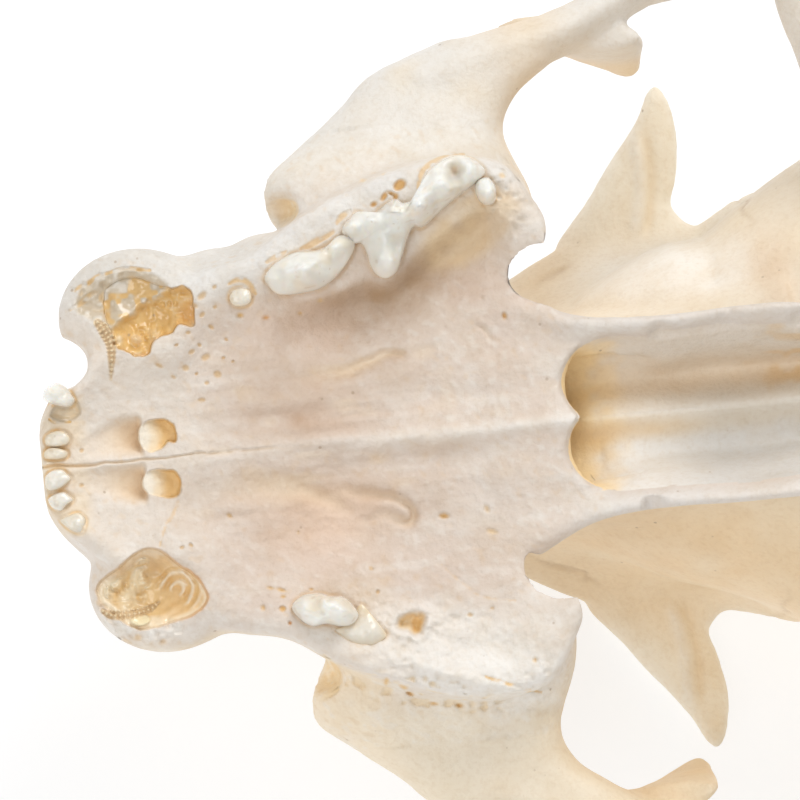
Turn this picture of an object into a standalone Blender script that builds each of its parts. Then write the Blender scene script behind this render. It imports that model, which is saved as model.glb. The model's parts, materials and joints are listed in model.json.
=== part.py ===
"""A cat's skull without its lower jaw, life size, lying upside down as it rests.

The bones are modelled in the skull's own directions, in millimetres: the first number
runs rearward from the front teeth, the second to the animal's right, and the third up
from the plane of the palate to the roof of the skull. The finished bones are then
scaled to metres and turned over, palate up, to lie on the floor at height zero.
"""

import math

import bmesh
import bpy
import numpy as np
from mathutils import Matrix, Vector

MM = 0.001
SUTURE = 0.3  # gap that parts one bone from the next
SIDES = {"left": -1.0, "right": 1.0}

BLEND_CELL = 0.55  # fineness of the mesh in which the forms run together
BLEND_ROUNDS = 4
BONE_TRIANGLES = 8200

# How the skull lies: on the roof of the braincase, leaning to its right and snout low
REST_ROLL = math.radians(16.0)
REST_PITCH = math.radians(-11.0)
REST_SHIFT = (-46.67, -3.59, 27.53)  # from the front teeth to the middle of the floor it covers
FLOOR_CUT = ((0.0, 0.0, -0.02), (0.2, 0.2, 0.02))  # below the floor, in metres

# Braincase: place, half width, underside, top
BRAINCASE = (
    (37.0, 9.0, 14.0, 33.2),
    (42.0, 11.5, 11.0, 36.2),
    (47.0, 13.3, 9.5, 38.0),
    (53.5, 17.0, 8.6, 39.3),
    (60.0, 20.3, 8.0, 39.6),
    (66.0, 21.6, 7.0, 38.8),
    (72.0, 21.0, 6.0, 36.9),
    (78.0, 18.6, 5.5, 33.8),
    (83.0, 14.5, 6.5, 30.4),
    (86.6, 8.6, 11.5, 27.0),
    (88.4, 2.8, 17.0, 23.5),
)
BRAINCASE_SQUARENESS = 2.25

# Forehead and walls between the eyes: place, roof, brow rim out and up, wall, foot, underside
FOREHEAD = (
    (17.0, 23.4, 7.4, 21.6, 7.6, 6.0, 10.0),
    (24.0, 27.6, 9.3, 25.6, 7.6, 6.4, 7.0),
    (30.0, 31.0, 9.7, 28.4, 6.8, 6.3, 5.0),
    (35.0, 33.6, 12.2, 30.2, 7.2, 6.3, 6.0),
    (40.0, 36.0, 14.6, 31.4, 8.8, 6.2, 8.0),
    (45.0, 37.6, 13.9, 31.4, 11.0, 7.0, 8.5),
    (51.0, 38.8, 15.2, 30.0, 14.6, 9.0, 8.5),
)

# Muzzle and palate: place, roof, roof half width, side half width, tooth border, palate depth
MUZZLE = (
    (-0.25, 6.0, 2.2, 3.0, 2.4, 0.6),
    (0.35, 7.4, 3.2, 4.3, 3.5, 0.7),
    (1.1, 8.9, 4.0, 5.3, 4.6, 0.85),
    (2.2, 10.8, 4.9, 6.5, 5.7, 1.0),
    (5.0, 15.6, 5.8, 8.2, 8.4, 1.3),
    (8.0, 18.8, 6.3, 9.4, 10.8, 1.6),
    (12.0, 21.0, 6.6, 10.6, 12.2, 1.9),
    (15.0, 22.4, 7.0, 12.0, 12.9, 2.1),
    (18.0, 23.6, 7.6, 13.2, 14.8, 2.2),
    (22.0, 24.6, 8.2, 13.8, 16.6, 2.3),
    (26.0, 23.0, 8.0, 14.6, 17.8, 2.2),
    (30.0, 15.5, 8.0, 15.6, 18.0, 2.0),
    (33.0, 11.0, 7.6, 14.8, 16.6, 1.7),
    (34.8, 8.4, 6.6, 11.6, 13.4, 1.5),
)

# Swelling over the root of the eye tooth: centre, half length, half width
CANINE_BULGE = (
    (0.0, 6.5, 9.3, -0.1, 4.5, 4.0),
    (0.2, 6.9, 9.3, 2.4, 5.2, 4.6),
    (0.5, 9.0, 9.0, 7.5, 4.9, 4.0),
    (0.8, 12.2, 7.7, 13.5, 4.0, 3.0),
    (1.0, 14.6, 6.9, 18.0, 2.6, 1.6),
)
CANINE_SHIFT = {"left": (-0.1, 0.25), "right": (0.25, -0.8)}
SWOLLEN_LEFT = (  # thickened bone behind the left eye tooth: centre, half sizes, turn in plan
    ((12.6, -10.6, 5.8), (4.4, 3.2, 5.2), 0.0),
    ((15.5, -11.7, 5.4), (3.4, 2.7, 4.6), -0.3),
)
CHEEK_OUTWARD = {"left": 0.0, "right": 0.7}
SPUR_SHIFT = {"left": (0.0, 0.0), "right": (0.2, 0.25)}
HORN_SHIFT = {"left": (0.3, 0.0), "right": (0.1, 0.0)}

# Cheek root of the upper jaw: place outward, front, rear, underside, top
CHEEK_ROOT = (
    (9.0, 17.6, 34.0, 2.0, 11.5),
    (14.0, 17.3, 34.4, 2.0, 13.5),
    (16.1, 16.1, 34.1, 2.9, 14.8),
    (18.1, 16.15, 33.3, 3.8, 15.2),
    (20.1, 18.5, 32.7, 5.2, 14.6),
    (22.6, 21.7, 33.9, 6.2, 14.0),
    (25.0, 24.6, 37.0, 6.8, 13.6),
    (26.6, 29.0, 38.0, 7.6, 13.0),
)

# Cheek arch: centre, half thickness, half height
ARCH = (
    (0.00, 27.0, 23.6, 10.0, 1.9, 3.9),
    (0.16, 32.0, 25.2, 10.6, 1.8, 4.1),
    (0.32, 37.3, 26.6, 11.6, 1.6, 4.0),
    (0.48, 43.3, 29.4, 13.0, 1.4, 3.6),
    (0.62, 48.5, 31.3, 14.0, 1.3, 3.5),
    (0.76, 53.5, 31.9, 14.2, 1.3, 3.6),
    (0.88, 57.8, 30.0, 13.6, 1.5, 3.2),
    (1.00, 60.4, 26.0, 12.8, 1.8, 2.8),
)

# Spur of the cheek bone towards the brow: centre, half length, half thickness
CHEEK_SPUR = (
    (0.0, 37.8, 26.6, 12.0, 5.6, 1.3),
    (0.4, 39.7, 26.0, 15.8, 4.0, 1.1),
    (0.75, 41.3, 25.1, 19.0, 2.0, 0.9),
    (1.0, 42.4, 24.2, 21.4, 0.6, 0.5),
)

# Brow horn behind the eye: centre, half breadth, half thickness
BROW_HORN = (
    (0.0, 41.2, 8.5, 31.8, 6.6, 3.2),
    (0.28, 41.3, 13.0, 31.2, 5.2, 2.6),
    (0.46, 41.7, 16.0, 30.6, 2.9, 2.0),
    (0.62, 42.8, 18.3, 29.9, 2.25, 1.6),
    (0.78, 43.7, 20.6, 29.0, 1.6, 1.3),
    (1.0, 44.0, 23.8, 27.4, 0.5, 0.5),
)

# Wing of the palate beside the throat passage: centre, half thickness, half height
WING = (
    (0.0, 31.5, 6.8, 5.6, 1.7, 4.4),
    (0.18, 35.6, 5.0, 5.2, 1.3, 4.8),
    (0.42, 41.0, 4.4, 5.3, 0.95, 5.0),
    (0.66, 46.8, 4.6, 5.2, 0.9, 4.9),
    (0.88, 52.0, 4.5, 4.6, 0.9, 4.4),
    (1.0, 55.2, 4.4, 3.4, 0.6, 2.6),
)
WING_LEAN = (0.0, -0.34, 1.0)  # the wings' upright direction: their feet stand closer than their rims
WING_SHIFT = {"left": (0.0, 0.0), "right": (0.0, 0.35)}

# Root of the cheek arch at the ear: place outward, centre, half length, half height
EAR_ROOT = (
    (8.0, 60.5, 15.0, 5.0, 4.5),
    (14.0, 60.2, 13.0, 5.4, 4.2),
    (18.5, 59.7, 12.2, 5.0, 3.2),
    (23.0, 58.5, 12.4, 5.0, 2.6),
    (28.0, 57.3, 13.0, 5.0, 2.5),
    (31.4, 55.8, 13.6, 3.4, 2.3),
)
JAW_HOLLOW = (58.9, 7.0, 3.2)  # groove for the lower jaw: place, height, radius
JAW_HOLLOW_REACH = (24.0, 8.0)  # its middle outward, and half its length outward

# Knobs of the skull's rear and base: centre, half sizes
BEHIND_JAW = ((62.6, 20.6, 9.6), (1.5, 4.6, 3.4))
MASTOID = ((76.4, 17.6, 10.4), (4.6, 3.0, 6.0))
BEHIND_CAPSULE = ((78.6, 14.4, 4.8), (1.8, 2.4, 3.6))
CONDYLE = ((81.6, 6.5, 6.6), (3.6, 2.9, 4.8), 0.4)

# Underside of the braincase: place, half width, underside, top
BASE = (
    (44.0, 5.4, 9.4, 14.0),
    (50.0, 7.4, 8.6, 14.0),
    (58.0, 8.0, 7.6, 14.0),
    (68.0, 7.2, 5.6, 12.0),
    (77.0, 7.8, 4.4, 10.0),
    (82.5, 6.4, 5.0, 9.0),
)

# Crest round the back of the head, a lens that leans rearward: centre, half sizes, lean
NAPE_CREST = ((84.2, 0.0, 17.4), (2.1, 16.8, 13.2), math.radians(24.0))

# Low ridge along the crown, and thin rear edge of the palate: centre, half sizes
CROWN_RIDGE = ((0.0, 62.0, 0, 37.6, 1.0, 2.0), (0.5, 76.0, 0, 33.4, 1.0, 2.2), (1.0, 88.4, 0, 27.6, 1.0, 1.8))
PALATE_EDGE = ((0.0, 26.5, 0, 3.6, 6.2, 0.9), (0.6, 32.5, 0, 2.1, 6.4, 1.0), (1.0, 37.6, 0, 1.8, 6.0, 0.9))

# Ear capsule under the skull: centre, half sizes, turn in plan; and its ear opening
CAPSULE = ((66.8, 12.7, 7.0), (10.4, 6.3, 6.4), math.radians(12.0))
EAR_OPENING = ((65.6, 20.4, 9.2), (2.6, 4.6, 2.3))

# Hollows cut into the bone: centre, half sizes
EYE_HOLLOW = ((33.4, 20.6, 22.0), (11.9, 11.6, 11.4))
FRONT_NOTCH = ((1.65, -6.8, 1.0), (1.95, 1.8, 10.0))  # between left front teeth and eye tooth
PALATE_NOTCH = {
    "left": ((36.4, -10.0, 9.0), (6.65, 4.08, 10.0)),
    "right": ((35.8, 9.9, 9.0), (6.8, 4.4, 10.0)),
}
CANINE_SOCKET = {
    "left": ((8.0, -9.3, -0.4), (2.7, 2.3, 4.2)),
    "right": ((6.4, 9.1, -0.4), (3.3, 2.7, 4.2)),
}
FRONT_PALATE_HOLE = ((7.6, 1.6, -0.3), (1.4, 0.95, 3.2))
CHEEK_PIT = {  # front mouth of the canal under the eye
    "left": ((17.0, -15.95, 4.6), (1.6, 1.2, 3.4)),
    "right": ((17.0, 15.6, 4.6), (1.65, 1.3, 3.4)),
}
CHEEK_HOLE = ((0.0, 13.0, 17.6, 8.6, 1.5, 2.1), (1.0, 27.0, 16.2, 12.6, 1.5, 1.9))
NOSE_HOLLOW = (
    (0.0, -3.0, 0, 12.4, 4.9, 5.4),
    (0.45, 3.5, 0, 12.4, 4.9, 5.2),
    (0.8, 8.6, 0, 13.0, 4.2, 4.0),
    (1.0, 12.0, 0, 13.4, 2.4, 2.4),
)
THROAT_LOBE = ((38.6, 2.2, 1.0), (3.9, 3.15, 3.4))
THROAT_TUNNEL = ((37.0, 0.0, 5.4), (6.5, 4.7, 3.1))
NECK_HOLE = ((85.0, 0.0, 10.4), (6.5, 6.3, 5.3))

# Where the bones part: a point in the cut, its half sizes, its lean and its turn in plan
JAW_CUT = ((32.4, 0.0, 15.0), (SUTURE / 2, 15.0, 21.0), (-22.0, 0.0))
CROWN_CUT = ((49.4, 0.0, 20.0), (SUTURE / 2, 24.0, 24.0), (0.0, 0.0))
NAPE_CUT = ((80.4, 0.0, 17.4), (SUTURE / 2, 26.0, 19.0), (24.0, 0.0))
CHEEK_CUT = ((26.0, 22.0, 10.0), (SUTURE / 2, 9.5, 10.0), (0.0, 60.0))
EAR_CUT = ((58.0, 24.2, 12.0), (9.0, SUTURE / 2, 9.0), (0.0, 0.0))

# The bones, each known by a point near its middle
BONES = {
    "upper_jaw": (18.0, 0.0, 8.0),
    "forehead": (40.0, 0.0, 24.0),
    "braincase": (63.0, 0.0, 22.0),
    "occiput": (83.0, 0.0, 15.0),
    "cheek_arch_left": (42.0, -28.0, 12.0),
    "cheek_arch_right": (42.0, 28.0, 12.0),
}
SCRAP = 60.0  # a loose piece under this volume in cubic millimetres is no bone

# Cheek teeth: start and end along the jaw, half width, and each point as place, height
LEFT_CHEEK_TEETH = {
    "second": ((13.5, -10.0), (15.0, -10.6), 0.75, ((0.5, 1.4, 0.9),)),
    "third": ((15.5, -10.4), (21.9, -13.3), 1.4, ((0.12, 1.8, 0.2), (0.48, 4.2, 0.26), (0.85, 2.2, 0.2))),
    "fourth": ((21.2, -13.9), (31.4, -16.9), 1.7, ((0.1, 2.4, 0.15), (0.42, 5.2, 0.2), (0.8, 3.8, 0.26))),
    "molar": ((30.6, -15.9), (32.0, -15.2), 0.8, ((0.5, 1.2, 0.9),)),
}
RIGHT_CHEEK_TEETH = {
    "third": ((15.6, 11.2), (20.8, 12.8), 1.4, ((0.15, 1.6, 0.2), (0.6, 3.4, 0.3), (0.92, 1.6, 0.2))),
    "stub": ((20.6, 12.6), (22.4, 13.2), 1.0, ((0.5, 1.5, 0.9),)),
}
INNER_CUSP = ((24.0, -11.6), (24.9, -14.6), 1.2, ((0.2, 2.4, 0.4),))

# Front teeth: place, place to the right, half length, half width, height below the palate
FRONT_TEETH = (
    (1.2, -4.6, 1.2, 0.85, 1.9),
    (1.1, -2.5, 0.9, 0.6, 0.7),
    (1.0, -1.1, 0.8, 0.5, 0.6),
    (1.0, 0.95, 0.95, 0.75, 1.5),
    (1.3, 2.4, 1.0, 0.7, 1.4),
    (2.2, 4.1, 1.0, 0.65, 0.7),
)

BONE_COLOURS = {
    "upper_jaw": (0.80, 0.70, 0.60),
    "forehead": (0.80, 0.68, 0.52),
    "braincase": (0.82, 0.72, 0.58),
    "occiput": (0.80, 0.69, 0.55),
    "cheek_arch": (0.84, 0.74, 0.60),
    "ear_capsule": (0.78, 0.68, 0.54),
}


def clear_scene():
    for obj in list(bpy.data.objects):
        bpy.data.objects.remove(obj, do_unlink=True)


def new_collection(name):
    collection = bpy.data.collections.new(name)
    bpy.context.scene.collection.children.link(collection)
    return collection


def through(keys, places):
    """Rows of values at the places, on the smooth curve through the keys' rows."""
    keys = np.asarray(keys, float)
    x = keys[:, 0]
    y = keys[:, 1:]
    slope = np.gradient(y, x, axis=0)
    places = np.clip(places, x[0], x[-1])
    i = np.clip(np.searchsorted(x, places) - 1, 0, len(x) - 2)
    width = (x[i + 1] - x[i])[:, None]
    t = (places - x[i])[:, None] / width
    rise = y[i] * (1 + 2 * t) * (1 - t) ** 2 + y[i + 1] * t * t * (3 - 2 * t)
    lean = slope[i] * t * (1 - t) ** 2 - slope[i + 1] * t * t * (1 - t)
    return rise + lean * width


def mesh_object(name, points, faces, collection):
    mesh = bpy.data.meshes.new(name)
    mesh.from_pydata([tuple(p) for p in points], [], faces)
    shell = bmesh.new()
    shell.from_mesh(mesh)
    bmesh.ops.recalc_face_normals(shell, faces=shell.faces[:])
    shell.to_mesh(mesh)
    shell.free()
    obj = bpy.data.objects.new(name, mesh)
    collection.objects.link(obj)
    return obj


def loft(name, rings, collection):
    """Closed skin over a row of like rings, with a flat cap at each end."""
    count, sides, _ = rings.shape
    faces = []
    for i in range(count - 1):
        for j in range(sides):
            k = (j + 1) % sides
            faces.append((i * sides + j, i * sides + k, (i + 1) * sides + k, (i + 1) * sides + j))
    faces.append(tuple(range(sides - 1, -1, -1)))
    faces.append(tuple(range((count - 1) * sides, count * sides)))
    return mesh_object(name, rings.reshape(-1, 3), faces, collection)


def oval(centres, across, along, sides, squareness=2.0):
    """Rings about the centres, with half sizes across and along as vectors."""
    angle = np.arange(sides) * 2 * np.pi / sides
    cosine = np.sign(np.cos(angle)) * np.abs(np.cos(angle)) ** (2 / squareness)
    sine = np.sign(np.sin(angle)) * np.abs(np.sin(angle)) ** (2 / squareness)
    return (
        centres[:, None, :]
        + across[:, None, :] * cosine[None, :, None]
        + along[:, None, :] * sine[None, :, None]
    )


def end_rounding(places, front, rear):
    """Scale of the sections at the places, from 0 to 1, so that the ends close as ovals."""
    scale = np.ones(len(places))
    if front:
        x = np.clip((front - places) / front, 0, 0.995)
        scale *= np.sqrt(1 - x * x)
    if rear:
        x = np.clip((rear - (1 - places)) / rear, 0, 0.995)
        scale *= np.sqrt(1 - x * x)
    return scale[:, None]


def bar(name, keys, side, count, sides, collection, upright, front=0.06, rear=0.06):
    """Bony bar along the keys' centres, of oval section, on one side of the head.

    Each key is its place along the bar, a centre, a half size across and one upright.
    """
    places = 0.5 - 0.5 * np.cos(np.linspace(0, np.pi, count))
    rows = through(keys, places)
    centres = rows[:, :3] * (1, side, 1)
    scale = end_rounding(places, front, rear)
    course = np.gradient(centres, axis=0)
    course /= np.linalg.norm(course, axis=1)[:, None]
    upright = np.asarray(upright, float) * (1, side, 1)
    across = np.cross(course, upright)
    across /= np.linalg.norm(across, axis=1)[:, None]
    along = np.cross(across, course)
    return loft(
        name,
        oval(centres, across * rows[:, 3:4] * scale, along * rows[:, 4:5] * scale, sides),
        collection,
    )


def ellipsoid(name, centre, half, collection, turn=0.0, tilt=0.0, segments=20, rings=12):
    """Egg of the given half sizes, turned in plan and then tilted nose up, in radians."""
    shell = bmesh.new()
    place = (
        Matrix.Translation(Vector(centre))
        @ Matrix.Rotation(turn, 4, "Z")
        @ Matrix.Rotation(tilt, 4, "Y")
        @ Matrix.Diagonal((*half, 1.0))
    )
    bmesh.ops.create_uvsphere(shell, u_segments=segments, v_segments=rings, radius=1.0, matrix=place)
    mesh = bpy.data.meshes.new(name)
    shell.to_mesh(mesh)
    shell.free()
    obj = bpy.data.objects.new(name, mesh)
    collection.objects.link(obj)
    return obj


def slab(name, centre, half, collection, turn=None):
    """Box of the given half sizes, turned by a matrix, that parts bones or cuts a flat."""
    shell = bmesh.new()
    place = Matrix.Translation(Vector(centre)) @ (turn or Matrix()) @ Matrix.Diagonal((*half, 1.0))
    bmesh.ops.create_cube(shell, size=2.0, matrix=place)
    mesh = bpy.data.meshes.new(name)
    shell.to_mesh(mesh)
    shell.free()
    obj = bpy.data.objects.new(name, mesh)
    collection.objects.link(obj)
    return obj


def shifted(keys, shift):
    """A bar's keys, moved rearward and outward."""
    rearward, outward = shift
    return [(t, a + rearward, l + outward, *rest) for t, a, l, *rest in keys]


def sided(values, side):
    return (values[0], values[1] * side, values[2])


def braincase(collection):
    places = np.linspace(BRAINCASE[0][0], BRAINCASE[-1][0], 34)
    width, low, top = through(BRAINCASE, places).T
    nothing = np.zeros(len(places))
    centres = np.stack([places, nothing, (low + top) / 2], axis=1)
    across = np.stack([nothing, width, nothing], axis=1)
    along = np.stack([nothing, nothing, (top - low) / 2], axis=1)
    loft("braincase_form", oval(centres, across, along, 32, BRAINCASE_SQUARENESS), collection)


def skull_base(collection):
    places = np.linspace(BASE[0][0], BASE[-1][0], 12)
    width, low, top = through(BASE, places).T
    nothing = np.zeros(len(places))
    centres = np.stack([places, nothing, (low + top) / 2], axis=1)
    across = np.stack([nothing, width, nothing], axis=1)
    along = np.stack([nothing, nothing, (top - low) / 2], axis=1)
    loft("base_form", oval(centres, across, along, 16, 2.6), collection)


def ring_round(half_profile, per_span):
    """Closed smooth ring through a half profile and its mirror image, roof to underside."""
    right = np.asarray(half_profile, float)
    left = right[-2:0:-1] * (-1, 1)
    points = np.vstack([right, left])
    count = len(points)
    looped = np.vstack([points[-2:], points, points[:3]])
    keys = np.column_stack([np.arange(-2, count + 3), looped])
    places = np.arange(count * per_span) / per_span
    return through(keys, places)


def forehead(collection):
    places = np.linspace(FOREHEAD[0][0], FOREHEAD[-1][0], 20)
    rings = []
    for place, row in zip(places, through(FOREHEAD, places)):
        roof, rim_out, rim_up, wall, foot, under = row
        half = (
            (0, roof),
            (0.6 * rim_out, roof - 0.22 * (roof - rim_up)),
            (rim_out, rim_up),
            (0.45 * rim_out + 0.55 * wall, rim_up - 4.4),
            (wall, 0.5 * (rim_up + under)),
            (foot, under + 2.5),
            (0.65 * foot, under),
            (0, under),
        )
        ring = ring_round(half, 2)
        rings.append(np.column_stack([np.full(len(ring), place), ring]))
    loft("forehead_form", np.array(rings), collection)


def muzzle(collection):
    places = np.linspace(MUZZLE[0][0], MUZZLE[-1][0], 26)
    rings = []
    for place, row in zip(places, through(MUZZLE, places)):
        roof, roof_out, side_out, border, palate = row
        half = (
            (0, roof),
            (0.6 * roof_out, roof - 0.3),
            (roof_out, roof - 0.1 * roof),
            (0.4 * roof_out + 0.6 * side_out, 0.66 * roof),
            (side_out, 0.42 * roof),
            (border, 0.2 * roof),
            (border - 0.1, 0.6),
            (border - 1.4, 0.0),
            (0.66 * border, 0.55 * palate),
            (0.3 * border, palate),
            (0, palate - 0.25),
        )
        ring = ring_round(half, 2)
        rings.append(np.column_stack([np.full(len(ring), place), ring]))
    loft("muzzle_form", np.array(rings), collection)


def cheek_root(side, word, collection):
    places = np.linspace(CHEEK_ROOT[0][0], CHEEK_ROOT[-1][0], 12)
    front, rear, low, top = through(CHEEK_ROOT, places).T
    nothing = np.zeros(len(places))
    outward = (places + CHEEK_OUTWARD[word]) * side
    centres = np.stack([(front + rear) / 2, outward, (low + top) / 2], axis=1)
    across = np.stack([(rear - front) / 2, nothing, nothing], axis=1)
    along = np.stack([nothing, nothing, (top - low) / 2], axis=1)
    loft("cheek_root_form", oval(centres, across, along, 24, 2.8), collection)


def ear_root(side, collection):
    places = np.linspace(EAR_ROOT[0][0], EAR_ROOT[-1][0], 9)
    centre, up, length, height = through(EAR_ROOT, places).T
    nothing = np.zeros(len(places))
    centres = np.stack([centre, places * side, up], axis=1)
    across = np.stack([length, nothing, nothing], axis=1)
    along = np.stack([nothing, nothing, height], axis=1)
    loft("ear_root_form", oval(centres, across, along, 16, 2.4), collection)
    centre, half = BEHIND_JAW
    ellipsoid("behind_jaw_form", sided(centre, side), half, collection)


def paired_forms(side, word, collection):
    """What the skull has on each side: horn, wing, arch, spur, roots and knobs."""
    horn = shifted(BROW_HORN, HORN_SHIFT[word])
    bar("brow_horn_form", horn, side, 14, 14, collection, (0, 0, 1), 0.0, 0.08)
    wing = shifted(WING, WING_SHIFT[word])
    bar("wing_form", wing, side, 14, 12, collection, WING_LEAN, 0.0, 0.06)
    arch = shifted(ARCH, (0.0, CHEEK_OUTWARD[word]))
    bar("arch_form", arch, side, 24, 12, collection, (0, 0, 1), 0.0, 0.0)
    spur = shifted(CHEEK_SPUR, SPUR_SHIFT[word])
    bar("spur_form", spur, side, 9, 10, collection, (0.2, 1, 0), 0.0, 0.1)
    ear_root(side, collection)
    canine = shifted(CANINE_BULGE, CANINE_SHIFT[word])
    bar("canine_form", canine, side, 12, 16, collection, (0, 1, 0), 0.12, 0.0)
    for word_of_knob, (centre, half) in (("mastoid", MASTOID), ("behind_capsule", BEHIND_CAPSULE)):
        ellipsoid(word_of_knob + "_form", sided(centre, side), half, collection, segments=14, rings=10)
    centre, half, turn = CONDYLE
    ellipsoid("condyle_form", sided(centre, side), half, collection, turn * side, segments=14, rings=10)


def crests(collection):
    """Crest round the nape, and the low ridge along the crown."""
    centre, half, lean = NAPE_CREST
    ellipsoid("nape_form", centre, half, collection, 0.0, lean, segments=28, rings=16)
    bar("crown_ridge_form", CROWN_RIDGE, 1.0, 10, 8, collection, (0, 0, 1), 0.1, 0.0)


def palate_shelf(collection):
    """Thin rear edge of the palate that overhangs the throat passage."""
    bar("shelf_form", PALATE_EDGE, 1.0, 8, 16, collection, (0, 0, 1), 0.0, 0.0)


def cheek_tooth(name, start, end, half_width, points, collection):
    """Blade of a crown along the jaw, its edge raised into points, its root sunk in the bone."""
    start = np.array(start)
    end = np.array(end)
    places = np.linspace(0.0, 1.0, 5 if len(points) == 1 else 11)
    along = start + (end - start) * places[:, None]
    across = np.array([end[1] - start[1], start[0] - end[0]])
    across /= np.linalg.norm(across)
    body = np.sqrt(np.clip(1 - (2 * places - 1) ** 4, 0.12, 1))
    crown = np.full(len(places), 0.5)
    for middle, height, spread in points:
        crown = np.maximum(crown, height * (1 - np.abs(places - middle) / spread))
    crown *= body**0.5
    profile = ((-1.0, 2.2), (-1.0, 0.0), (-0.8, -0.4), (-0.2, -1.0), (0.2, -1.0), (0.8, -0.4), (1.0, 0.0), (1.0, 2.2))
    rings = []
    for centre, width, height in zip(along, body * half_width, crown):
        ring = []
        for out, up in profile:
            place = centre + across * out * width
            ring.append((place[0], place[1], up if up > 0 else up * height))
        rings.append(ring)
    loft(name, np.array(rings), collection)


def teeth(collection):
    for name, sizes in {**LEFT_CHEEK_TEETH, "inner": INNER_CUSP}.items():
        cheek_tooth(f"left_{name}_tooth_form", *sizes, collection)
    for name, sizes in RIGHT_CHEEK_TEETH.items():
        cheek_tooth(f"right_{name}_tooth_form", *sizes, collection)
    for number, (place, out, long, wide, height) in enumerate(FRONT_TEETH):
        half = (long, wide, height + 1.0)
        ellipsoid(f"front_tooth_{number}_form", (place, out, 1.0), half, collection, segments=10, rings=8)


def jaw_hollows(collection):
    """Eye hollows and the notches beside the throat, as solids to be taken from the jaw."""
    for word, side in SIDES.items():
        centre, half = EYE_HOLLOW
        ellipsoid("eye_cut", sided(centre, side), half, collection, 0.25 * side, segments=24, rings=16)
        ellipsoid("notch_cut", *PALATE_NOTCH[word], collection, segments=18, rings=14)


def hollows(collection):
    """Sockets, holes, nose and ear openings, as solids to be taken away."""
    for word, side in SIDES.items():
        centre, half = FRONT_PALATE_HOLE
        ellipsoid("hole_cut", sided(centre, side), half, collection, segments=10, rings=8)
        ellipsoid("pit_cut", *CHEEK_PIT[word], collection, segments=10, rings=8)
        centre, half = CANINE_SOCKET[word]
        ellipsoid("socket_cut", centre, half, collection, segments=14, rings=10)
        bar("cheek_hole_cut", CHEEK_HOLE, side, 4, 12, collection, (0, 0, 1), 0.0, 0.0)
    bar("nose_cut", NOSE_HOLLOW, 1.0, 10, 16, collection, (0, 0, 1), 0.0, 0.1)
    ellipsoid("front_notch_cut", *FRONT_NOTCH, collection, segments=14, rings=10)


def throat_hollows(collection):
    centre, half = THROAT_TUNNEL
    ellipsoid("throat_cut", centre, half, collection, segments=20, rings=12)
    centre, half = NECK_HOLE
    ellipsoid("neck_cut", centre, half, collection, segments=18, rings=12)
    for side in SIDES.values():
        centre, half = THROAT_LOBE
        ellipsoid("lobe_cut", sided(centre, side), half, collection, segments=16, rings=10)
        place, up, radius = JAW_HOLLOW
        out, reach = JAW_HOLLOW_REACH
        ellipsoid("jaw_cut", (place, out * side, up), (radius, reach, radius), collection, segments=14, rings=10)


def mesh_of(obj):
    shell = bmesh.new()
    shell.from_mesh(obj.data)
    shell.faces.ensure_lookup_table()
    return shell


def closed_surfaces(shell):
    """The faces of each closed surface in the mesh."""
    surfaces = []
    seen = set()
    for first in shell.faces:
        if first.index in seen:
            continue
        seen.add(first.index)
        surface = [first]
        for face in surface:
            for edge in face.edges:
                for other in edge.link_faces:
                    if other.index not in seen:
                        seen.add(other.index)
                        surface.append(other)
        surfaces.append(surface)
    return surfaces


def volume(faces):
    """Six times the volume inside a closed set of faces."""
    total = 0.0
    for face in faces:
        corners = [vertex.co for vertex in face.verts]
        for second, third in zip(corners[1:], corners[2:]):
            total += corners[0].dot(second.cross(third))
    return total


def keep_largest(obj):
    """Leaves the mesh only its largest closed surface."""
    shell = mesh_of(obj)
    surfaces = sorted(closed_surfaces(shell), key=volume)
    loose = [face for surface in surfaces[:-1] for face in surface]
    bmesh.ops.delete(shell, geom=loose, context="FACES")
    shell.to_mesh(obj.data)
    shell.free()


def apply_modifiers(obj):
    bpy.context.view_layer.update()
    evaluated = obj.evaluated_get(bpy.context.evaluated_depsgraph_get())
    mesh = bpy.data.meshes.new_from_object(evaluated)
    obj.modifiers.clear()
    obj.data = mesh


def boolean(obj, collection, operation):
    """Joins or cuts the object with a collection's objects, which are then removed."""
    step = obj.modifiers.new("form", "BOOLEAN")
    step.operation = operation
    step.operand_type = "COLLECTION"
    step.collection = collection
    step.solver = "MANIFOLD"
    apply_modifiers(obj)
    for other in list(collection.objects):
        bpy.data.objects.remove(other, do_unlink=True)
    bpy.data.collections.remove(collection)


def joined(name, collection):
    """One object from a collection's closed forms."""
    first = collection.objects[0]
    collection.objects.unlink(first)
    bpy.context.scene.collection.objects.link(first)
    first.name = name
    boolean(first, collection, "UNION")
    return first


def blended(obj, cell, rounds, triangles):
    """Runs the forms into one another as bone does, and thins the mesh to the triangles."""
    remesh = obj.modifiers.new("blend", "REMESH")
    remesh.mode = "VOXEL"
    remesh.voxel_size = cell
    smooth = obj.modifiers.new("soften", "SMOOTH")
    smooth.factor = 0.5
    smooth.iterations = rounds
    apply_modifiers(obj)
    keep_largest(obj)
    thin = obj.modifiers.new("thin", "DECIMATE")
    thin.ratio = triangles / (2 * len(obj.data.polygons))
    thin.use_collapse_triangulate = True
    apply_modifiers(obj)


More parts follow.
